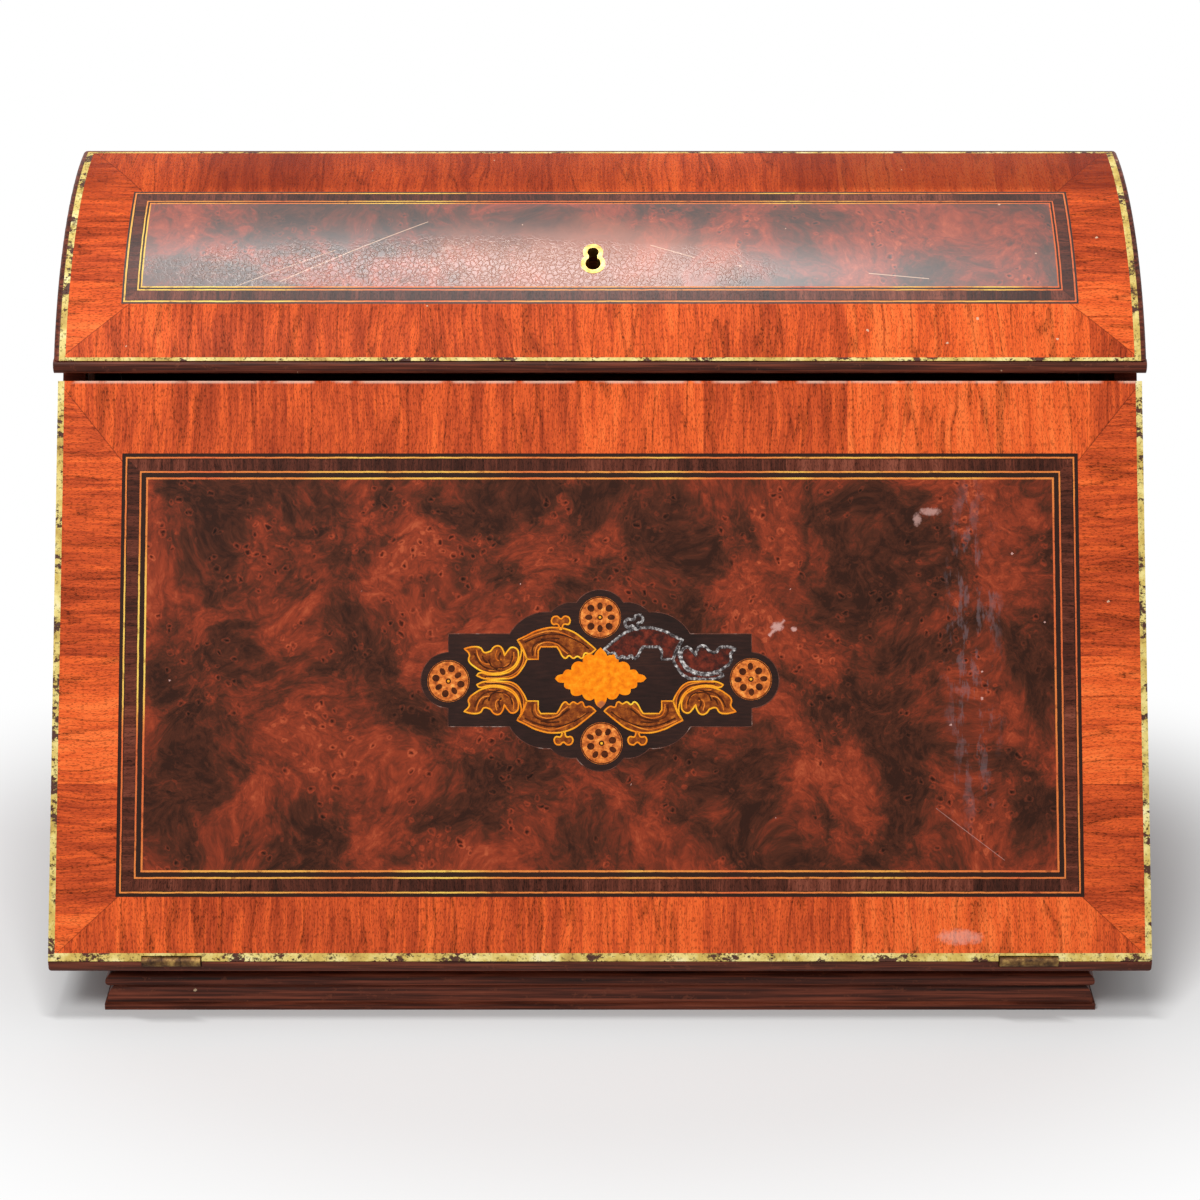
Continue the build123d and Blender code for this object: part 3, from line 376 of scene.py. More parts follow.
def dress_flap_veneers():
    banding = polished_wood("flap_tulipwood")
    u, v = banding.flap_place()
    from_side = (HALF - abs(u)) / FLAP_SIDE_BAND
    from_ends = banding.least(v / FLAP_FOOT_BAND, (FLAP_LENGTH - v) / FLAP_TOP_BAND)
    colour, relief = crossbanded(banding, u, v, from_side < from_ends, toned(TULIPWOOD, finishes().tulipwood))
    colour = mitre_line(banding, colour, from_side, from_ends)
    # Pale line along the flap's top arris: partly worn bare veneer, partly a painted highlight on the edge.
    worn_edge_and_painted_highlight = banding.between(v, 179.6, 180.5) * banding.between(
        banding.noise(banding.join(u, v, 0.0), 0.11, 3.0), 0.36, 0.52
    )
    colour = banding.mix(worn_edge_and_painted_highlight * 0.7, colour, paint(238, 196, 172))
    chips = specks(banding, u, v, 0.05)
    colour = banding.mix(chips * 0.8, colour, paint(214, 180, 150))
    smudge = patch(banding, u, v, (111.0, 7.5), (9.0, 3.0), 0.6)
    colour = banding.mix(smudge * 0.5, colour, paint(226, 166, 150))
    banding.colour(colour)
    banding.bump(relief, 0.05, 0.5)
    banding.dress("flap_crossbanding")

    burr = polished_wood("flap_burr")
    u, v = burr.flap_place()
    colour, relief = burr_figure(burr, u, v, 2.0, toned(AMBOYNA, finishes().amboyna))
    streaked = burr.noise(burr.join(u * 0.9, v * 0.25, 2.0), 0.35, 4.0, 0.7)
    bloom = patch(burr, u, v, (116.0, 95.0), (11.0, 64.0), 0.16) * burr.between(streaked, 0.50, 0.60)
    colour = burr.mix(bloom * 0.34, colour, paint(122, 108, 112))
    marks = burr.most(
        stroke(burr, u, v, (52.5, 100.5), (57.5, 105.5), 1.2, 0.9),
        patch(burr, u, v, (55.2, 103.4), (2.4, 1.8), 1.1),
        patch(burr, u, v, (60.4, 102.6), (1.2, 1.0), 1.3),
        stroke(burr, u, v, (104.0, 47.0), (125.0, 31.0), 0.22, 0.12) * 0.6,
        patch(burr, u, v, (103.0, 139.5), (4.2, 1.6), 0.9) * 0.7,
        patch(burr, u, v, (99.0, 137.0), (1.6, 2.6), 0.9) * 0.7,
        specks(burr, u, v, 0.035),
    )
    colour = burr.mix(marks * 0.75, colour, paint(214, 168, 158))
    burr.colour(colour)
    burr.bump(relief, 0.04, 0.4)
    burr.dress("flap_burr_panel")

    band = polished_wood("flap_kingwood")
    u, v = band.flap_place()
    inside = edge_distance(band, u, v, *FLAP_FRAME)
    side = (FLAP_FRAME[0] - abs(u)) < inside + 0.001
    colour, relief = crossbanded(band, u, v, side, toned(KINGWOOD, finishes().kingwood), 30.0)
    band.colour(colour)
    band.bump(relief, 0.03, 0.4)
    band.dress("flap_kingwood_band")

    strings = polished_wood("flap_strings")
    u, v = strings.flap_place()
    inside = edge_distance(strings, u, v, *FLAP_FRAME)
    dress_strings(strings, u, v, inside, 8.2, (1.1, 1.6, 5.6, 6.1, 7.6))
    strings.dress("flap_stringing")


def dress_strings(finish, u, v, inside, reach, steps):
    """Fine pale lines between dark ones, from the outside in."""
    pale, dark = (1.0, 1.0, 1.0, 1.0), (0.0, 0.0, 0.0, 1.0)
    stops = zip((0.0, *(step / reach for step in steps)), (dark, pale, dark, pale, dark, pale))
    wobble = finish.noise(finish.join(u, v, 5.0), 0.25, 2.0)
    strayed = (inside + (wobble - 0.5) * (finishes().line_wobble / MM)) / reach
    ramp = finish.add("ShaderNodeValToRGB", {"stops": tuple(stops)}, {"Fac": strayed})
    ramp.socket.node.color_ramp.interpolation = "CONSTANT"
    tint = finish.noise(finish.join(u, v, 9.0), 0.018, 3.0, 0.6)
    gold = finish.ramp(
        tint,
        (0.38, paint(214, 104, 58)), (0.52, paint(226, 138, 66)),
        (0.62, paint(236, 182, 84)), (0.74, paint(238, 216, 104)),
    )
    wear = finish.between(finish.noise(finish.join(u, v, 9.0), 0.3, 4.0, 0.7), 0.56, 0.68)
    gold = finish.mix(wear * 0.6, gold, paint(120, 56, 32))
    colour = finish.mix(ramp, paint(48, 30, 24), gold)
    fine = finish.noise(finish.join(u, v, 1.0), 1.2, 3.0)
    shade = fine * 0.5 + 0.75
    finish.colour(finish.darken(colour, shade))
    finish.bump(fine, 0.03, 0.4)


def dress_lid_veneers():
    banding = polished_wood("lid_tulipwood", 0.36, 0.05)
    u, v = banding.lid_place()
    (low, high), (frame_low, frame_high) = LID_BAND, LID_FRAME
    from_side = (LID_BAND_HALF - abs(u)) / LID_SIDE_BAND
    from_ends = banding.least((v - low) / (frame_low - low), (high - v) / (high - frame_high))
    colour, relief = crossbanded(banding, u, v, from_side < from_ends, toned(TULIPWOOD, finishes().tulipwood))
    colour = mitre_line(banding, colour, from_side, from_ends)
    # Painted shade: the band darkens over the top of the dome, more in some stretches than in others.
    painted_top_shade = banding.between(v, frame_high - 4.0, frame_high + 4.0)
    stretch = banding.between(banding.noise(banding.join(u, 0.0, 5.0), 0.011, 1.0), 0.40, 0.52)
    colour = banding.mix(painted_top_shade * (0.3 + 0.4 * stretch), colour, paint(104, 28, 12))
    chips = specks(banding, u, v, 0.06)
    colour = banding.mix(chips * 0.8, colour, paint(222, 190, 160))
    banding.colour(colour)
    banding.bump(relief, 0.05, 0.5)
    banding.dress("lid_crossbanding")

    burr = polished_wood("lid_burr", 0.36, 0.95)
    u, v = burr.lid_place()
    colour, relief = burr_figure(burr, u, v, 31.0, toned(AMBOYNA, finishes().amboyna))
    # Painted reflection: a broad pale patch across the middle of the lid's burr.
    painted_reflection = patch(burr, u, v, (-4.0, frame_low + 16.0), (62.0, 22.0), 0.02)
    colour = burr.mix(painted_reflection * 0.55, colour, paint(190, 104, 72))
    marks = burr.most(
        stroke(burr, u, v, (-101.0, frame_low + 8.0), (-55.0, frame_low + 32.0), 0.28, 0.1),
        stroke(burr, u, v, (-120.0, frame_low + 4.0), (-84.0, frame_low + 20.0), 0.22, 0.1),
        stroke(burr, u, v, (16.0, frame_low + 22.0), (30.0, frame_low + 17.0), 0.2),
        stroke(burr, u, v, (85.0, frame_low + 11.0), (104.0, frame_low + 9.0), 0.2),
        specks(burr, u, v, 0.05),
    )
    colour = burr.mix(marks * 0.7, colour, paint(232, 190, 160))
    # Crazing in the lacquer: its relief is real, and its pale lines are a painted reflection, kept to the zone where
    # the lid reflects the light.
    bent = burr.shift(burr.join(u, v, 1.0), burr.noise(burr.join(u, v, 1.0), 0.5, 2.0, output="Color"), 2.6)
    crackle = burr.between(burr.cells(bent, 0.6, "DISTANCE_TO_EDGE"), 0.0, 0.16)
    crazing_in_reflection = patch(burr, u, v, (-45.0, frame_low + 12.0), (105.0, 16.0), 0.03)
    burr.colour(burr.mix((1.0 - crackle) * crazing_in_reflection * 0.22, colour, paint(236, 196, 176)))
    burr.bump(relief * 0.3 + crackle * crazing_in_reflection, 0.09, 0.8)
    burr.dress("lid_burr_panel")

    band = polished_wood("lid_kingwood", 0.36, 0.3)
    u, v = band.lid_place()
    side = (LID_FRAME_HALF - abs(u)) < band.least(v - frame_low, frame_high - v) + 0.001
    colour, relief = crossbanded(band, u, v, side, toned(KINGWOOD, finishes().kingwood), 30.0)
    band.colour(colour)
    band.bump(relief, 0.03, 0.4)
    band.dress("lid_kingwood_band")

    strings = polished_wood("lid_strings", 0.36, 0.3)
    u, v = strings.lid_place()
    inside = edge_distance(strings, u, v, LID_FRAME_HALF, frame_low, frame_high)
    dress_strings(strings, u, v, inside, 6.2, (0.6, 1.1, 4.7, 5.15, 5.75))
    strings.dress("lid_stringing")


def chipped(finish, x, y, z, amount, scale=0.16):
    """Ragged losses, 0 to 1, over the given share of a surface."""
    large = finish.noise(finish.join(x * 0.6, y, z), scale, 5.0, 0.72)
    small = finish.noise(finish.join(x, y, z), scale * 5.0, 3.0, 0.6)
    return finish.between(large * 0.75 + small * 0.25, 0.56 - amount * 0.3, 0.60 - amount * 0.3)


def dress_edging():
    gilt = Finish("worn_edging", 0.5, 0.3)
    x, y, z = gilt.place()
    base = gilt.noise(gilt.join(x, y, z), 0.12, 4.0, 0.65)
    colour = gilt.ramp(base, *zip((0.25, 0.45, 0.60, 0.8), toned(EDGING, finishes().edging)))
    loss = chipped(gilt, x, y, z, 0.09)
    colour = gilt.mix(loss, colour, paint(74, 38, 22))
    grime = gilt.between(gilt.noise(gilt.join(x, y, z), 0.9, 3.0, 0.7), 0.56, 0.64)
    colour = gilt.mix(grime * 0.55, colour, paint(56, 30, 18))
    gilt.colour(colour)
    gilt.bump(base - loss * 0.8 - grime * 0.4, 0.5, 0.7)
    gilt.dress("flap_edging", "lid_edging")


def dress_moulding():
    dark = Finish("ebonised_moulding", 0.4, 0.14)
    x, y, z = dark.place()
    grain = dark.noise(dark.join(x * 0.03, y * 0.03, z * 1.3), 1.0, 4.0, 0.6)
    streaks = dark.noise(dark.join(x * 0.012, y * 0.8, z * 0.8), 1.0, 3.0, 0.65)
    colour = dark.ramp(
        grain * 0.5 + streaks * 0.5,
        (0.34, paint(34, 17, 13)), (0.47, paint(74, 35, 24)),
        (0.58, paint(118, 58, 40)), (0.72, paint(152, 82, 58)),
    )
    worn = chipped(dark, x, y, z, -0.03, 0.35)
    colour = dark.mix(worn * 0.5, colour, paint(118, 62, 42))
    chips = specks(dark, x, y + z, 0.07, 0.7)
    colour = dark.mix(chips * 0.8, colour, paint(214, 186, 150))
    dark.colour(colour)
    dark.bump(grain * 0.5 - worn * 0.5 - chips, 0.15, 0.5)
    dark.dress(
        "plinth_front", "plinth_back", "plinth_left", "plinth_right", "base_board", "lid_front_rail", "lid_dome",
    )


def long_grain(finish, along, across, through, tones, spread=1.0):
    """A quiet figured wood whose grain runs one way; returns colour and relief."""
    sway = finish.noise(finish.join(along * 0.012, across * 0.02, through * 0.02), 1.0, 2.0)
    across = across + sway * 15.0
    figure = finish.noise(finish.join(along * 0.006, across * 0.09 * spread, through * 0.05), 1.0, 4.0, 0.62)
    fine = finish.noise(finish.join(along * 0.03, across * 1.1, through * 1.1), 1.0, 3.0, 0.6)
    pores = finish.between(
        finish.noise(finish.join(along * 0.35, across * 3.6, through * 3.6), 1.0, 1.0), 0.63, 0.71
    )
    level = figure * 0.72 + fine * 0.28
    stops = zip((0.34, 0.46, 0.56, 0.70), tones)
    shade = 1.0 - 0.4 * pores
    colour = finish.darken(finish.ramp(level, *stops), shade)
    return colour, fine * 0.3 - pores


ROSEWOOD = (paint(40, 15, 10), paint(84, 32, 20), paint(120, 50, 30), paint(150, 70, 42))
LEATHER = (paint(62, 22, 16), paint(94, 34, 22), paint(126, 54, 34))
BRASS = (paint(104, 78, 42), paint(176, 146, 84), paint(208, 184, 120))
EDGING = (paint(160, 122, 56), paint(208, 180, 92), paint(232, 214, 136), paint(246, 236, 196))
CEDAR = (paint(92, 44, 24), paint(132, 70, 40), paint(158, 90, 54), paint(186, 114, 72))


def dress_carcass():
    wood = polished_wood("rosewood")
    x, y, z = wood.place()
    colour, relief = long_grain(wood, x + y, z, y * 0.2, toned(ROSEWOOD, finishes().rosewood))
    scuffs = specks(wood, x + y, z, 0.03)
    colour = wood.mix(scuffs * 0.5, colour, paint(190, 150, 120))
    wood.colour(colour)
    wood.bump(relief, 0.05, 0.5)
    wood.dress("side_left", "side_right", "back_board", "lid_back", "lid_end_left", "lid_end_right")

    board = Finish("flap_board_wood", 0.5, 0.25)
    u, v = board.flap_place()
    colour, relief = long_grain(board, u, v, 0.0, toned(ROSEWOOD, finishes().rosewood))
    board.colour(colour)
    board.bump(relief, 0.05, 0.5)
    board.dress("flap_board")

    inner = Finish("cedar", 0.48, 0.25)
    x, y, z = inner.place()
    colour, relief = long_grain(inner, x, z, y, toned(CEDAR, finishes().cedar))
    stain = inner.between(inner.noise(inner.join(x, y, z), 0.02, 4.0, 0.6), 0.52, 0.66)
    colour = inner.mix(stain * 0.45, colour, paint(58, 30, 22))
    inner.colour(colour)
    inner.bump(relief, 0.05, 0.5)
    inner.dress(
        "ink_stand", "pen_tray", "rack_cheek_left", "rack_cheek_right",
        "rack_divider_1", "rack_divider_2", "rack_divider_3", "lock_block",
    )


def dress_linings():
    leather = Finish("tooled_leather", 0.5, 0.35)
    u, v = leather.flap_place()
    inside = edge_distance(leather, u, v, *LEATHER_FRAME)
    grain = leather.cells(leather.join(u, v, 0.0), 1.5)
    creases = leather.noise(leather.join(u, v, 6.0), 0.09, 5.0, 0.65)
    tones = toned(LEATHER, finishes().leather)
    colour = leather.ramp(creases, (0.3, tones[0]), (0.5, tones[1]), (0.72, tones[2]))
    scuff = leather.between(leather.noise(leather.join(u, v, 2.0), 0.045, 5.0, 0.7), 0.56, 0.70)
    colour = leather.mix(scuff * 0.4, colour, paint(148, 84, 56))
    lines = leather.most(
        1.0 - leather.between(abs(inside - 6.0), 0.25, 0.45),
        1.0 - leather.between(abs(inside - 12.0), 0.25, 0.45),
        1.0 - leather.between(abs(inside - 13.4), 0.12, 0.28),
    )
    run = u + v
    beads = run.maths("FRACT", run * 0.2)
    bead_across = (beads - 0.5) * 5.0
    ring = abs((bead_across * bead_across + (inside - 9.0) * (inside - 9.0)) ** 0.5 - 1.5)
    beads_row = (1.0 - leather.between(ring, 0.25, 0.5)) * (abs(inside - 9.0) < 2.6)
    tooling = leather.most(lines, beads_row)
    rub = leather.between(leather.noise(leather.join(u, v, 8.0), 0.5, 3.0, 0.7), 0.34, 0.5)
    gilt = tooling * rub
    leather.colour(leather.mix(gilt * 0.85, colour, paint(206, 160, 74)))
    leather.feed("Metallic", gilt * 0.7)
    leather.feed("Roughness", 0.52 - gilt * 0.16)
    leather.bump(grain * 0.4 + creases * 0.6 - tooling * 1.2, 0.25, 0.7)
    leather.dress("writing_leather")

    paper = Finish("paper_lining", 0.85, 0.2)
    x, y, z = paper.place()
    fibre = paper.noise(paper.join(x * 0.5, y, z), 1.1, 4.0, 0.7)
    stain = paper.noise(paper.join(x, y, z), 0.022, 4.0, 0.6)
    tones = (0.3, paint(48, 16, 26)), (0.52, paint(86, 30, 42)), (0.72, paint(116, 56, 62))
    colour = paper.ramp(stain * 0.8 + fibre * 0.2, *tones)
    paper.colour(colour)
    paper.bump(fibre, 0.1, 0.5)
    paper.dress("floor_lining")


def dress_metals():
    brass = Finish("aged_brass", 0.34, 0.5, metallic=1.0)
    x, y, z = brass.place()
    cloud = brass.noise(brass.join(x, y, z), 0.18, 4.0, 0.65)
    scratches = brass.noise(brass.join(x * 0.3, y * 4.0, z * 4.0), 1.0, 2.0)
    tones = toned(BRASS, finishes().brass)
    colour = brass.ramp(cloud, (0.32, tones[0]), (0.5, tones[1]), (0.7, tones[2]))
    brass.colour(colour)
    brass.feed("Roughness", 0.5 - cloud * 0.25 + scratches * 0.08)
    brass.bump(scratches, 0.02, 0.4)
    brass.dress(
        "inkwell_left_collar", "inkwell_right_collar", "inkwell_left_cap", "inkwell_right_cap", "keyhole_liner",
        "strike_plate", "lid_hinge_case_leaves", "lid_hinge_lid_leaves", "case_hinge_screws", "lid_hinge_screws",
    )

    patina = Finish("dark_brass", 0.5, 0.4, metallic=0.7)
    x, y, z = patina.place()
    cloud = patina.noise(patina.join(x, y, z), 0.35, 4.0, 0.65)
    tones = (0.34, paint(52, 32, 20)), (0.5, paint(106, 76, 42)), (0.68, paint(168, 134, 74))
    patina.colour(patina.ramp(cloud, *tones))
    patina.bump(cloud, 0.05, 0.5)
    patina.dress("flap_hinge_base_leaves", "flap_hinge_flap_leaves", "hinge_pins", "flap_hinge_screws")

    steel = Finish("lock_steel", 0.4, 0.5, metallic=1.0)
    x, y, z = steel.place()
    cloud = steel.noise(steel.join(x, y, z), 0.25, 4.0, 0.7)
    brushed = steel.noise(steel.join(x * 0.2, y * 5.0, z * 5.0), 1.0, 2.0)
    tones = (0.32, paint(70, 62, 56)), (0.5, paint(128, 124, 118)), (0.7, paint(170, 166, 158))
    steel.colour(steel.ramp(cloud, *tones))
    steel.feed("Roughness", 0.3 + cloud * 0.25)
    steel.bump(brushed, 0.02, 0.4)
    steel.dress("lock_case", "lock_bolt", "key_pin", "lock_screws")

    glass = Finish("cut_glass", 0.02, 0.5)
    glass.shader["Transmission Weight"].default_value = 1.0
    glass.shader["IOR"].default_value = 1.5
    x, y, z = glass.place()
    glass.colour(paint(236, 244, 240))
    glass.bump(glass.noise(glass.join(x, y, z), 0.16, 1.0), 0.1, 0.4)
    glass.dress("inkwell_left", "inkwell_right")

    peg = polished_wood("dark_peg", 0.5)
    x, y, z = peg.place()
    tones = (paint(20, 10, 8), paint(34, 18, 14), paint(52, 28, 20), paint(70, 40, 28))
    colour, relief = long_grain(peg, z, x, y, tones)
    peg.colour(colour)
    peg.bump(relief, 0.05, 0.5)
    peg.dress("rest_peg")


def onto_flap(up=CARTOUCHE_UP, lift=0.0, flatten=1.0):
    """Takes a flat drawing in millimetres, x across and y up, onto the flap's outer face."""
    origin = FLAP_FOOT + UP_SLOPE * (up * MM) + OUTWARD * (lift * MM)
    turned = Matrix((Vector((1, 0, 0)), UP_SLOPE, OUTWARD)).transposed().to_4x4()
    return Matrix.Translation(origin) @ turned @ Matrix.Diagonal((MM, MM, MM * flatten, 1.0))


def drawing(name, paths, matrix, closed=True, thickness=0.0, line=0.0):
    """A filled flat shape, or strokes of a given half width, as a mesh piece put in place."""
    data = bpy.data.curves.new(name, "CURVE")
    data.dimensions = "3D" if line else "2D"
    data.fill_mode = "FULL" if line else "BOTH"
    data.resolution_u = 5
    data.extrude = thickness
    data.bevel_depth = line
    data.bevel_resolution = 1
    data.use_fill_caps = bool(line)
    for path in paths:
        spline = data.splines.new("BEZIER")
        spline.bezier_points.add(len(path) - 1)
        for point, (x, y, *corner) in zip(spline.bezier_points, path):
            point.co = (x, y, 0.0)
            point.handle_left_type = point.handle_right_type = "VECTOR" if corner else "AUTO"
        spline.use_cyclic_u = closed
    curve = bpy.data.objects.new(name + "_curve", data)
    bpy.context.scene.collection.objects.link(curve)
    bpy.context.view_layer.update()
    mesh = bpy.data.meshes.new_from_object(curve.evaluated_get(bpy.context.evaluated_depsgraph_get()))
    bpy.data.objects.remove(curve)
    mesh.name = name
    mesh.transform(matrix)
    mesh.materials.clear()
    piece = bpy.data.objects.new(name, mesh)
    bpy.context.scene.collection.objects.link(piece)
    return piece


def mirrored(path, across, up):
    return [(x * across, y * up, *corner) for x, y, *corner in path]


def circle(centre, radius, squeeze=1.0, turn=0.0, count=8):
    """A round or oval path; squeeze narrows it across the direction of turn."""
    points = []
    for number in range(count):
        angle = 2 * pi * number / count
        out, aside = radius * cos(angle), radius * squeeze * sin(angle)
        points.append(
            (centre[0] + out * cos(turn) - aside * sin(turn), centre[1] + out * sin(turn) + aside * cos(turn))
        )
    return points


GROUND_HALF = (47.0, 14.3)
GROUND_ROUNDS = (
    ((0.0, 19.6), 8.5), ((0.0, -19.6), 8.5), ((47.0, 0.0), 8.5), ((-47.0, 0.0), 8.5),
    *(((across * 16.5, up * 8.0), 13.1) for across in (-1, 1) for up in (-1, 1)),
    *(((across * 8.6, up * 15.4), 8.7) for across in (-1, 1) for up in (-1, 1)),
)


def ground_outline(grow=0.0):
    """The dark ground's outline, found along rays from its middle."""
    points = []
    for step in range(720):
        angle = 2 * pi * step / 720
        dx, dy = cos(angle), sin(angle)
        reach = min((half + grow) / max(abs(d), 1e-6) for half, d in zip(GROUND_HALF, (dx, dy)))
        for (cx, cy), radius in GROUND_ROUNDS:
            middle = cx * dx + cy * dy
            spare = (radius + grow) ** 2 - (cx * dy - cy * dx) ** 2
            if spare > 0:
                reach = max(reach, middle + sqrt(spare))
        points.append((reach * dx, reach * dy, "corner"))
    return points


STRAP = (
    (1.3, 9.6, "corner"), (4.8, 12.5), (8.7, 15.2), (14.2, 16.4), (19.6, 15.4), (23.5, 13.5), (25.7, 12.5, "corner"),
    (24.2, 10.4), (22.7, 6.5, "corner"), (19.2, 6.5, "corner"), (19.2, 9.2, "corner"), (18.4, 10.4, "corner"),
    (13.4, 10.4, "corner"), (12.6, 9.2), (11.6, 7.4), (10.7, 6.8), (9.6, 7.6), (8.3, 6.8), (7.0, 7.4), (5.6, 6.8),
    (4.6, 8.4), (3.2, 8.2),
)
HOOK = (
    (25.7, 12.5, "corner"), (24.5, 10.2), (25.0, 6.5), (27.0, 3.4), (30.5, 1.9), (34.4, 1.7), (37.5, 2.2),
    (38.3, 1.4, "corner"), (36.0, 0.5), (30.5, 0.4), (26.6, 1.1), (23.9, 4.1), (22.7, 6.5, "corner"),
)
LEAF = (
    (42.2, 9.8, "corner"), (40.6, 8.0), (40.8, 6.1), (38.9, 4.1), (36.0, 2.6), (32.5, 2.1), (28.4, 3.2), (26.0, 5.3),
    (25.3, 8.0), (25.8, 9.6), (27.4, 10.2), (28.6, 9.2), (29.7, 7.6, "corner"), (30.1, 9.2), (31.3, 10.6),
    (32.8, 10.4), (34.0, 9.0, "corner"), (36.0, 8.6), (37.1, 10.0), (39.1, 10.4),
)
STRAP_LINES = (
    ((3.4, 9.8), (7.0, 12.2), (10.6, 13.8), (14.4, 14.4), (19.2, 13.6), (23.4, 11.8)),
    ((21.0, 7.6), (20.9, 10.2), (19.4, 11.8), (13.4, 11.8), (11.2, 10.2), (9.4, 8.8)),
    ((12.6, 12.9), (15.0, 13.1), (18.4, 12.7)),
)
HOOK_LINES = (((24.3, 9.0), (24.3, 6.2), (26.4, 2.6), (30.4, 1.2), (35.8, 1.0)),)
LEAF_LINES = (
    ((27.2, 7.6), (27.8, 5.4), (30.2, 3.9), (33.6, 4.3), (34.6, 6.4)),
    ((31.0, 3.2), (35.0, 3.7), (37.6, 5.6), (39.0, 8.4)),
    ((30.9, 8.6), (31.4, 6.8), (30.6, 5.4)),
    ((36.6, 7.6), (36.0, 6.2), (35.0, 5.4)),
)
RIB_LINES = (
    ((4.4, 10.4), (8.0, 12.8), (11.6, 14.6), (15.0, 15.3), (19.2, 14.5), (24.0, 12.5)),
    ((20.2, 7.4), (20.0, 9.6), (19.0, 11.1), (13.2, 11.1), (11.8, 9.6), (10.0, 8.2)),
    ((23.7, 8.4), (24.0, 5.2), (26.6, 2.0), (30.4, 0.85), (35.4, 0.75)),
    ((26.8, 8.8), (27.0, 6.4), (29.0, 4.6), (31.6, 3.4), (34.6, 3.0)),
    ((32.0, 9.4), (32.4, 7.4), (31.8, 6.2), (30.6, 6.4)),
    ((38.4, 9.4), (37.8, 7.2), (36.4, 5.4), (34.2, 4.9)),
)
BUD = (
    (0.0, -2.6), (-0.9, -1.0), (-2.5, -0.9), (-2.7, 0.8), (-1.3, 1.5), (0.0, 0.7), (1.3, 1.5), (2.7, 0.8),
    (2.5, -0.9), (0.9, -1.0),
)
BUDS = (((-12.2, 18.4), 0.0), ((-11.3, -18.6), pi), ((11.6, -18.6), pi))
MEDALLION_HALF = (
    (0.2, 10.2, "corner"), (-1.3, 8.8), (-1.9, 7.7, "corner"), (-3.6, 8.2), (-5.2, 7.0), (-5.4, 5.6, "corner"),
    (-7.2, 5.8), (-8.8, 4.4), (-8.9, 3.2, "corner"), (-10.6, 3.2), (-11.6, 1.9, "corner"), (-13.3, 1.4),
    (-14.0, 0.5, "corner"), (-12.9, -0.6), (-11.2, -0.8, "corner"), (-10.9, -2.3), (-9.2, -2.9, "corner"),
    (-8.8, -4.4), (-7.0, -4.9), (-5.6, -4.4, "corner"), (-4.6, -5.9), (-2.9, -6.3), (-1.8, -5.7, "corner"),
    (-1.2, -7.6),
)
QUADRANTS = ((-1, 1), (-1, -1), (1, -1))
ROSETTES = ((0.0, 19.6), (0.5, -19.6), (-47.1, -0.3), (46.9, 0.3))


def turned(path, centre, angle):
    points = []
    for x, y, *corner in path:
        across, up = x * cos(angle) - y * sin(angle), x * sin(angle) + y * cos(angle)
        points.append((centre[0] + across, centre[1] + up, *corner))
    return points


def inlay_wood(name, tones, scale=0.35):
    wood = polished_wood(name)
    u, v = wood.flap_place()
    tone = wood.noise(wood.join(u, v, 0.0), scale, 4.0, 0.65)
    stops = zip((0.3, 0.45, 0.58, 0.72), tones)
    wood.colour(wood.ramp(tone, *stops))
    wood.bump(tone, 0.03, 0.4)
    return wood


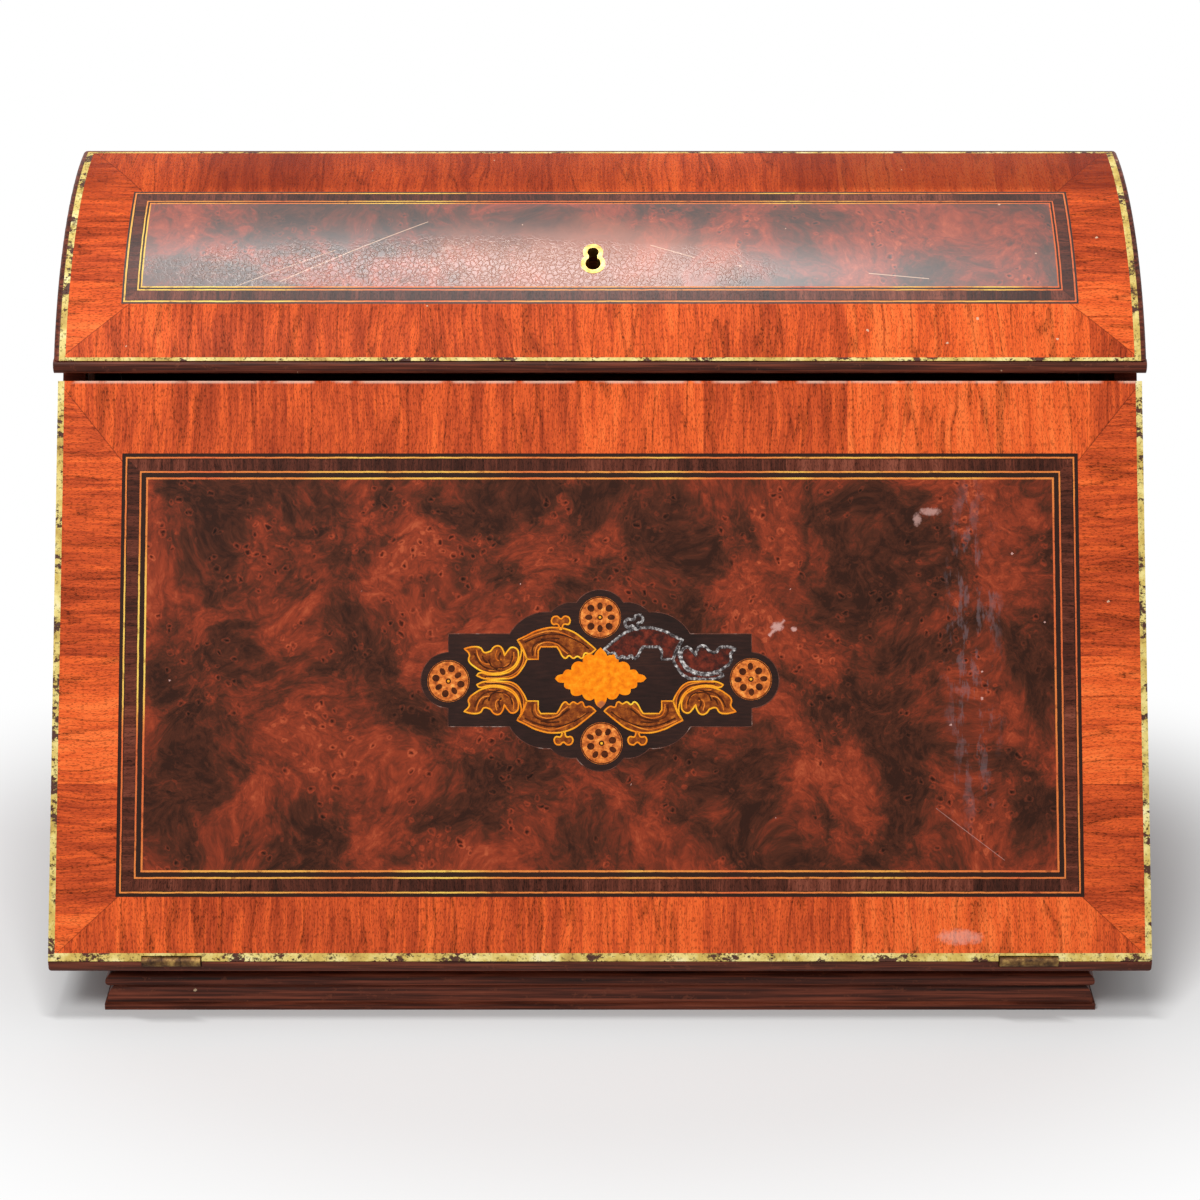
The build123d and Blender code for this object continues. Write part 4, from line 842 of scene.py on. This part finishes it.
def inlay_pieces():
    """The cartouche: ground, straps, leaves, rosettes, medallion and what a lost scroll has left."""
    ground = drawing("inlay_ground", [ground_outline()], onto_flap(), thickness=0.02)
    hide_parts("cartouche_ground")
    ebony = polished_wood("ebony_ground")
    u, v = ebony.flap_place()
    fine = ebony.noise(ebony.join(u * 0.2, v * 1.4, 0.0), 1.0, 4.0, 0.6)
    tone = ebony.noise(ebony.join(u, v, 3.0), 0.06, 2.0)
    tones = (0.36, paint(36, 25, 22)), (0.52, paint(48, 31, 27)), (0.66, paint(62, 38, 31))
    colour = ebony.ramp(fine * 0.5 + tone * 0.5, *tones)
    chips = specks(ebony, u, v, 0.10, 0.45)
    ebony.colour(ebony.mix(chips * 0.7, colour, paint(160, 152, 146)))
    ebony.bump(fine, 0.03, 0.4)
    ebony.dress(ground)

    scrolls = [mirrored(shape, *flip) for flip in QUADRANTS for shape in (STRAP, HOOK, LEAF)]
    buds = [turned(BUD, centre, angle) for centre, angle in BUDS]
    straps = drawing("inlay_scrolls", scrolls, onto_flap(lift=0.03), thickness=0.02)
    bud_piece = drawing("inlay_buds", buds, onto_flap(lift=0.03), thickness=0.02)
    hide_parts("cartouche_scrolls")
    shaded = inlay_wood(
        "shaded_boxwood", (paint(84, 38, 16), paint(116, 54, 22), paint(152, 78, 28), paint(196, 112, 40)), 0.5
    )
    shaded.dress(straps, bud_piece)

    engraved = [
        mirrored(line, *flip) for flip in QUADRANTS for line in (*STRAP_LINES, *HOOK_LINES, *LEAF_LINES)
    ]
    engraved_line = finishes().engraved_line / MM
    shading = drawing("inlay_shading", engraved, onto_flap(lift=0.05, flatten=0.15), False, line=engraved_line)
    umber = inlay_wood(
        "scorched_lines", (paint(48, 22, 12), paint(66, 30, 14), paint(86, 40, 18), paint(110, 56, 24))
    )
    umber.dress(shading)

    outlines = drawing("inlay_outlines", scrolls + buds, onto_flap(lift=0.06, flatten=0.15), line=0.27)
    ribs = [mirrored(line, *flip) for flip in QUADRANTS for line in RIB_LINES]
    rib_piece = drawing("inlay_ribs", ribs, onto_flap(lift=0.05, flatten=0.15), False, line=0.2)
    border = drawing("inlay_border", [ground_outline(0.15)], onto_flap(lift=0.01, flatten=0.15), line=0.13)
    bright = inlay_wood(
        "pale_boxwood", (paint(226, 108, 22), paint(240, 140, 34), paint(248, 176, 44), paint(250, 226, 74)), 0.07
    )
    bright.dress(outlines)
    amber = inlay_wood(
        "amber_lines", (paint(178, 84, 26), paint(206, 108, 34), paint(226, 132, 48), paint(240, 160, 64)), 0.2
    )
    amber.dress(rib_piece)
    dull = inlay_wood(
        "worn_joint", (paint(52, 34, 30), paint(86, 50, 40), paint(112, 70, 58), paint(168, 150, 140)), 0.2
    )
    dull.dress(border)

    medal_path = list(MEDALLION_HALF) + [
        (0.4 - x, y * 0.97 + 0.1, *corner) for x, y, *corner in reversed(MEDALLION_HALF[1:])
    ]
    medal_path.insert(len(MEDALLION_HALF), (0.2, -8.8, "corner"))
    medallion = drawing("inlay_medallion", [medal_path], onto_flap(lift=0.06), thickness=0.03)
    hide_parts("cartouche_medallion")
    satin = polished_wood("satinwood")
    u, v = satin.flap_place()
    tone = satin.noise(satin.join(u, v, 0.0), 0.5, 4.0, 0.65)
    colour = satin.ramp(tone, (0.32, paint(226, 112, 12)), (0.5, paint(246, 134, 14)), (0.68, paint(254, 158, 28)))
    foot = patch(satin, u, v, (0.4, CARTOUCHE_UP - 7.6), (1.9, 1.6), 0.8)
    satin.colour(satin.mix(foot * 0.8, colour, paint(156, 92, 66)))
    satin.bump(tone, 0.03, 0.4)
    satin.dress(medallion)

    rounds = [circle(centre, 6.5, count=12) for centre in ROSETTES]
    discs = drawing("inlay_rosettes", rounds, onto_flap(lift=0.03), thickness=0.02)
    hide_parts("cartouche_rosettes")
    mottled = inlay_wood(
        "rosette_wood", (paint(120, 56, 26), paint(190, 98, 42), paint(232, 134, 60), paint(250, 178, 92)), 0.62
    )
    mottled.dress(discs)
    petals, rings = [], []
    for number, (cx, cy) in enumerate(ROSETTES):
        for petal in range(8):
            angle = 2 * pi * (petal + 0.35 * number) / 8
            reach = 3.5 + 0.5 * (petal % 2)
            spot = (cx + reach * cos(angle), cy + reach * sin(angle))
            petals.append(circle(spot, 1.15, 0.72 + 0.2 * ((petal + number) % 2), angle))
        petals.append(circle((cx, cy), 0.85))
        rings.append(circle((cx, cy), 6.25, count=12))
    holes = drawing("rosette_petals", petals, onto_flap(lift=0.05), thickness=0.02)
    rims = drawing("rosette_rims", rings, onto_flap(lift=0.05, flatten=0.15), line=0.16)
    umber.dress(holes, rims)
    dots = [circle(centre, 0.4) for centre in ROSETTES]
    eyes = drawing("rosette_eyes", dots, onto_flap(lift=0.075), thickness=0.01)
    bright.dress(eyes)

    lost = [mirrored(shape, 1, 1) for shape in (STRAP, HOOK, LEAF)]
    bare = drawing("lost_scroll_bed", lost, onto_flap(lift=0.03), thickness=0.01)
    bare_wood = inlay_wood(
        "bare_wood", (paint(40, 24, 22), paint(66, 32, 26), paint(104, 42, 30), paint(132, 56, 40)), 0.4
    )
    bare_wood.dress(bare)
    lost_bud = turned(BUD, (10.6, 18.2), 0.4)
    residue = drawing("lost_scroll_glue", lost + [lost_bud], onto_flap(lift=0.03, flatten=0.3), line=0.5)
    glue = Finish("old_glue", 0.6, 0.2)
    u, v = glue.flap_place()
    cloud = glue.noise(glue.join(u, v, 0.0), 0.7, 4.0, 0.7)
    colour = glue.ramp(
        cloud,
        (0.38, paint(38, 31, 30)), (0.48, paint(84, 76, 76)),
        (0.55, paint(150, 144, 142)), (0.64, paint(222, 218, 214)),
    )
    glue.colour(colour)
    glue.bump(cloud, 0.4, 0.8)
    glue.dress(residue)

    for piece in (
        ground, border, straps, bud_piece, shading, rib_piece, outlines,
        medallion, discs, holes, rims, eyes, bare, residue,
    ):
        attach(piece, "flap")


class SlopeStudio(bpy.types.PropertyGroup):
    """The camera and the lamps."""

    distance: bpy.props.FloatProperty(
        name="Camera distance", description="From the camera to the point it looks at",
        default=0.884, unit="LENGTH",
    )
    elevation: bpy.props.FloatProperty(
        name="Camera elevation", description="Above the horizon", default=radians(25), subtype="ANGLE"
    )
    lens: bpy.props.FloatProperty(name="Lens", description="Focal length in millimetres", default=85.33)
    ambient: bpy.props.FloatProperty(name="Ambient", description="Even light from all round", default=0.52)
    front_lamp: bpy.props.FloatProperty(name="Front lamp", description="Power in watts", default=9.0)
    top_lamp: bpy.props.FloatProperty(name="Top lamp", description="Power in watts", default=5.4)


CAMERA_TARGET = Vector((0, -0.03082, 0.11763))
SENSOR_WIDTH = 36.0
FLOOR_HALF = 6.0
FRONT_LAMP = ((-0.45, -0.75, 1.35), (0, 0, 0.1), (0.6, 0.5))         # place, target and size
TOP_LAMP = ((-0.06, -0.05, 1.25), (-0.02, 0.03, 0.2), (0.42, 0.06))
SHADOW_MIDDLE = -20.0                # the oval of floor that keeps the shadow, in millimetres
SHADOW_REACH = (330.0, 210.0)
SHADOW_FADE = 0.55                   # share of the oval where the fade to white starts


def tone_setting(name, description, colour):
    return bpy.props.FloatVectorProperty(
        name=name, description=description, subtype="COLOR", min=0.0, max=1.0, default=colour[:3]
    )


class SlopeFinishes(bpy.types.PropertyGroup):
    """The woods, metals and small sizes of the finish."""

    tulipwood: tone_setting("Tulipwood", "Lightest tone of the bands", TULIPWOOD[-1])
    amboyna: tone_setting("Burr", "Lightest tone of the burr panels", AMBOYNA[-1])
    kingwood: tone_setting("Kingwood", "Lightest tone between the strings", KINGWOOD[-1])
    rosewood: tone_setting("Rosewood", "Lightest tone of the carcass", ROSEWOOD[-1])
    cedar: tone_setting("Cedar", "Lightest tone of the inner fittings", CEDAR[-1])
    leather: tone_setting("Leather", "Lightest tone of the writing leather", LEATHER[-1])
    edging: tone_setting("Edging", "Lightest tone of the pale edges", EDGING[-1])
    brass: tone_setting("Brass", "Lightest tone of the brass", BRASS[-1])
    floor: tone_setting("Floor", "Floor paper", (0.74, 0.74, 0.74))
    strip_width: bpy.props.FloatProperty(
        name="Strip width", description="Mean width of a veneer strip", default=0.04, min=0.01, unit="LENGTH"
    )
    line_wobble: bpy.props.FloatProperty(
        name="Line wobble", description="How far the inlaid lines stray", default=0.00025, min=0.0, unit="LENGTH"
    )
    engraved_line: bpy.props.FloatProperty(
        name="Engraved line", description="Half width of the cartouche's cut lines",
        default=0.00026, min=0.00005, unit="LENGTH",
    )


def white_world(strength):
    """Even light from all round that the camera, mirrors and glass see as plain white."""
    world = bpy.data.worlds.new("studio_world")
    world.use_nodes = True
    nodes = Nodes(world.node_tree)
    background = nodes.tree.nodes["Background"]
    background.inputs["Color"].default_value = WHITE
    background.inputs["Strength"].default_value = strength
    rays = nodes.add("ShaderNodeLightPath").socket.node.outputs
    kinds = ("Camera", "Glossy", "Transmission")
    camera, glossy, through = (Signal(nodes, rays[f"Is {kind} Ray"]) for kind in kinds)
    seen = camera.maths("MAXIMUM", camera.maths("MAXIMUM", camera, glossy), through)
    white = nodes.add("ShaderNodeBackground", values={"Color": WHITE, "Strength": 1.0})
    lit = Signal(nodes, background.outputs[0])
    choice = nodes.add("ShaderNodeMixShader", values={0: seen, 1: lit, 2: white})
    nodes.tree.links.new(choice.socket, nodes.tree.nodes["World Output"].inputs["Surface"])
    return world


def floor_paper():
    """White paper that keeps the object's shadow and turns plain white away from it."""
    pale = Finish("floor_paper", 0.9, 0.0)
    pale.colour((*finishes().floor, 1.0))
    x, y, z = pale.place()
    ahead = (y - SHADOW_MIDDLE) / SHADOW_REACH[1]
    aside = x / SHADOW_REACH[0]
    away = pale.between((ahead * ahead + aside * aside) ** 0.5, SHADOW_FADE, 1.0)
    seen = pale.add("ShaderNodeLightPath", output="Is Camera Ray")
    lit = Signal(pale, pale.tree.nodes["Principled BSDF"].outputs[0])
    white = pale.add("ShaderNodeEmission", values={"Color": WHITE, "Strength": 1.0})
    choice = pale.add("ShaderNodeMixShader", values={0: away * seen, 1: lit, 2: white})
    pale.tree.links.new(choice.socket, pale.tree.nodes["Material Output"].inputs["Surface"])
    return pale.material


def area_lamp(name, place, target, size, power):
    data = bpy.data.lights.new(name, "AREA")
    data.shape = "RECTANGLE"
    data.size, data.size_y = size
    data.energy = power
    lamp = bpy.data.objects.new(name, data)
    bpy.context.scene.collection.objects.link(lamp)
    aim = (Vector(target) - Vector(place)).to_track_quat("-Z", "Y")
    lamp.matrix_world = Matrix.LocRotScale(Vector(place), aim, None)
    return lamp


class SlopeBuildStudio(bpy.types.Operator):
    """Makes the floor, the white surroundings, the lamps and the camera"""

    bl_idname = "slope.build_studio"
    bl_label = "Studio"

    def execute(self, context):
        studio = context.scene.slope_studio
        context.scene.world = white_world(studio.ambient)

        mesh = bpy.data.meshes.new("floor")
        sheet = bmesh.new()
        bmesh.ops.create_grid(sheet, x_segments=1, y_segments=1, size=FLOOR_HALF)
        sheet.to_mesh(mesh)
        sheet.free()
        floor = bpy.data.objects.new("floor", mesh)
        context.scene.collection.objects.link(floor)
        floor.data.materials.append(floor_paper())

        aim = Vector((0, -cos(studio.elevation), sin(studio.elevation)))
        data = bpy.data.cameras.new("photo_camera")
        data.lens = studio.lens
        data.sensor_width = SENSOR_WIDTH
        camera = bpy.data.objects.new("photo_camera", data)
        context.scene.collection.objects.link(camera)
        camera.matrix_world = Matrix.LocRotScale(
            CAMERA_TARGET + aim * studio.distance, (-aim).to_track_quat("-Z", "Y"), None
        )
        context.scene.camera = camera
        context.scene.view_settings.view_transform = "Standard"

        area_lamp("front_lamp", *FRONT_LAMP, studio.front_lamp)
        area_lamp("top_lamp", *TOP_LAMP, studio.top_lamp)
        return {"FINISHED"}


def dressing(identifier, label, text, *steps):
    """An operator class that runs the given finishing steps."""

    def execute(self, context):
        for step in steps:
            step()
        return {"FINISHED"}

    names = {"bl_idname": identifier, "bl_label": label, "__doc__": text, "execute": execute}
    return type("Slope" + label.replace(" ", ""), (bpy.types.Operator,), names)


OPERATORS = (
    SlopeBuildStudio,
    dressing(
        "slope.flap_veneers", "Flap Veneers", "Finishes the flap's bands, lines and burr", dress_flap_veneers
    ),
    dressing("slope.lid_veneers", "Lid Veneers", "Finishes the lid's bands, lines and burr", dress_lid_veneers),
    dressing(
        "slope.edging", "Edging and Moulding", "Finishes the pale edges and the dark mouldings",
        dress_edging, dress_moulding,
    ),
    dressing(
        "slope.carcass", "Carcass", "Finishes the carcass and the inner fittings", dress_carcass, dress_linings
    ),
    dressing(
        "slope.metals", "Metal and Glass", "Finishes the brass, the steel, the glass and the peg", dress_metals
    ),
    dressing("slope.inlay", "Inlay", "Makes the inlaid cartouche", inlay_pieces),
)


class SLOPE_PT_parts(bpy.types.Panel):
    """Lists the pieces' operators and their settings"""

    bl_idname = "SLOPE_PT_parts"
    bl_label = "Writing Slope"
    bl_space_type = "VIEW_3D"
    bl_region_type = "UI"
    bl_category = "Writing Slope"

    def draw(self, context):
        for group in (context.scene.slope_studio, context.scene.slope_finishes):
            for name in group.__annotations__:
                self.layout.prop(group, name)
        for operator in OPERATORS:
            self.layout.operator(operator.bl_idname)


CLASSES = (SlopeStudio, SlopeFinishes, *OPERATORS, SLOPE_PT_parts)


def register():
    for cls in CLASSES:
        bpy.utils.register_class(cls)
    bpy.types.Scene.slope_studio = bpy.props.PointerProperty(type=SlopeStudio)
    bpy.types.Scene.slope_finishes = bpy.props.PointerProperty(type=SlopeFinishes)


def unregister():
    del bpy.types.Scene.slope_finishes
    del bpy.types.Scene.slope_studio
    for cls in reversed(CLASSES):
        bpy.utils.unregister_class(cls)


def main():
    register()
    for operator in OPERATORS:
        family, name = operator.bl_idname.split(".")
        getattr(getattr(bpy.ops, family), name)()


if __name__ == "__main__":
    main()
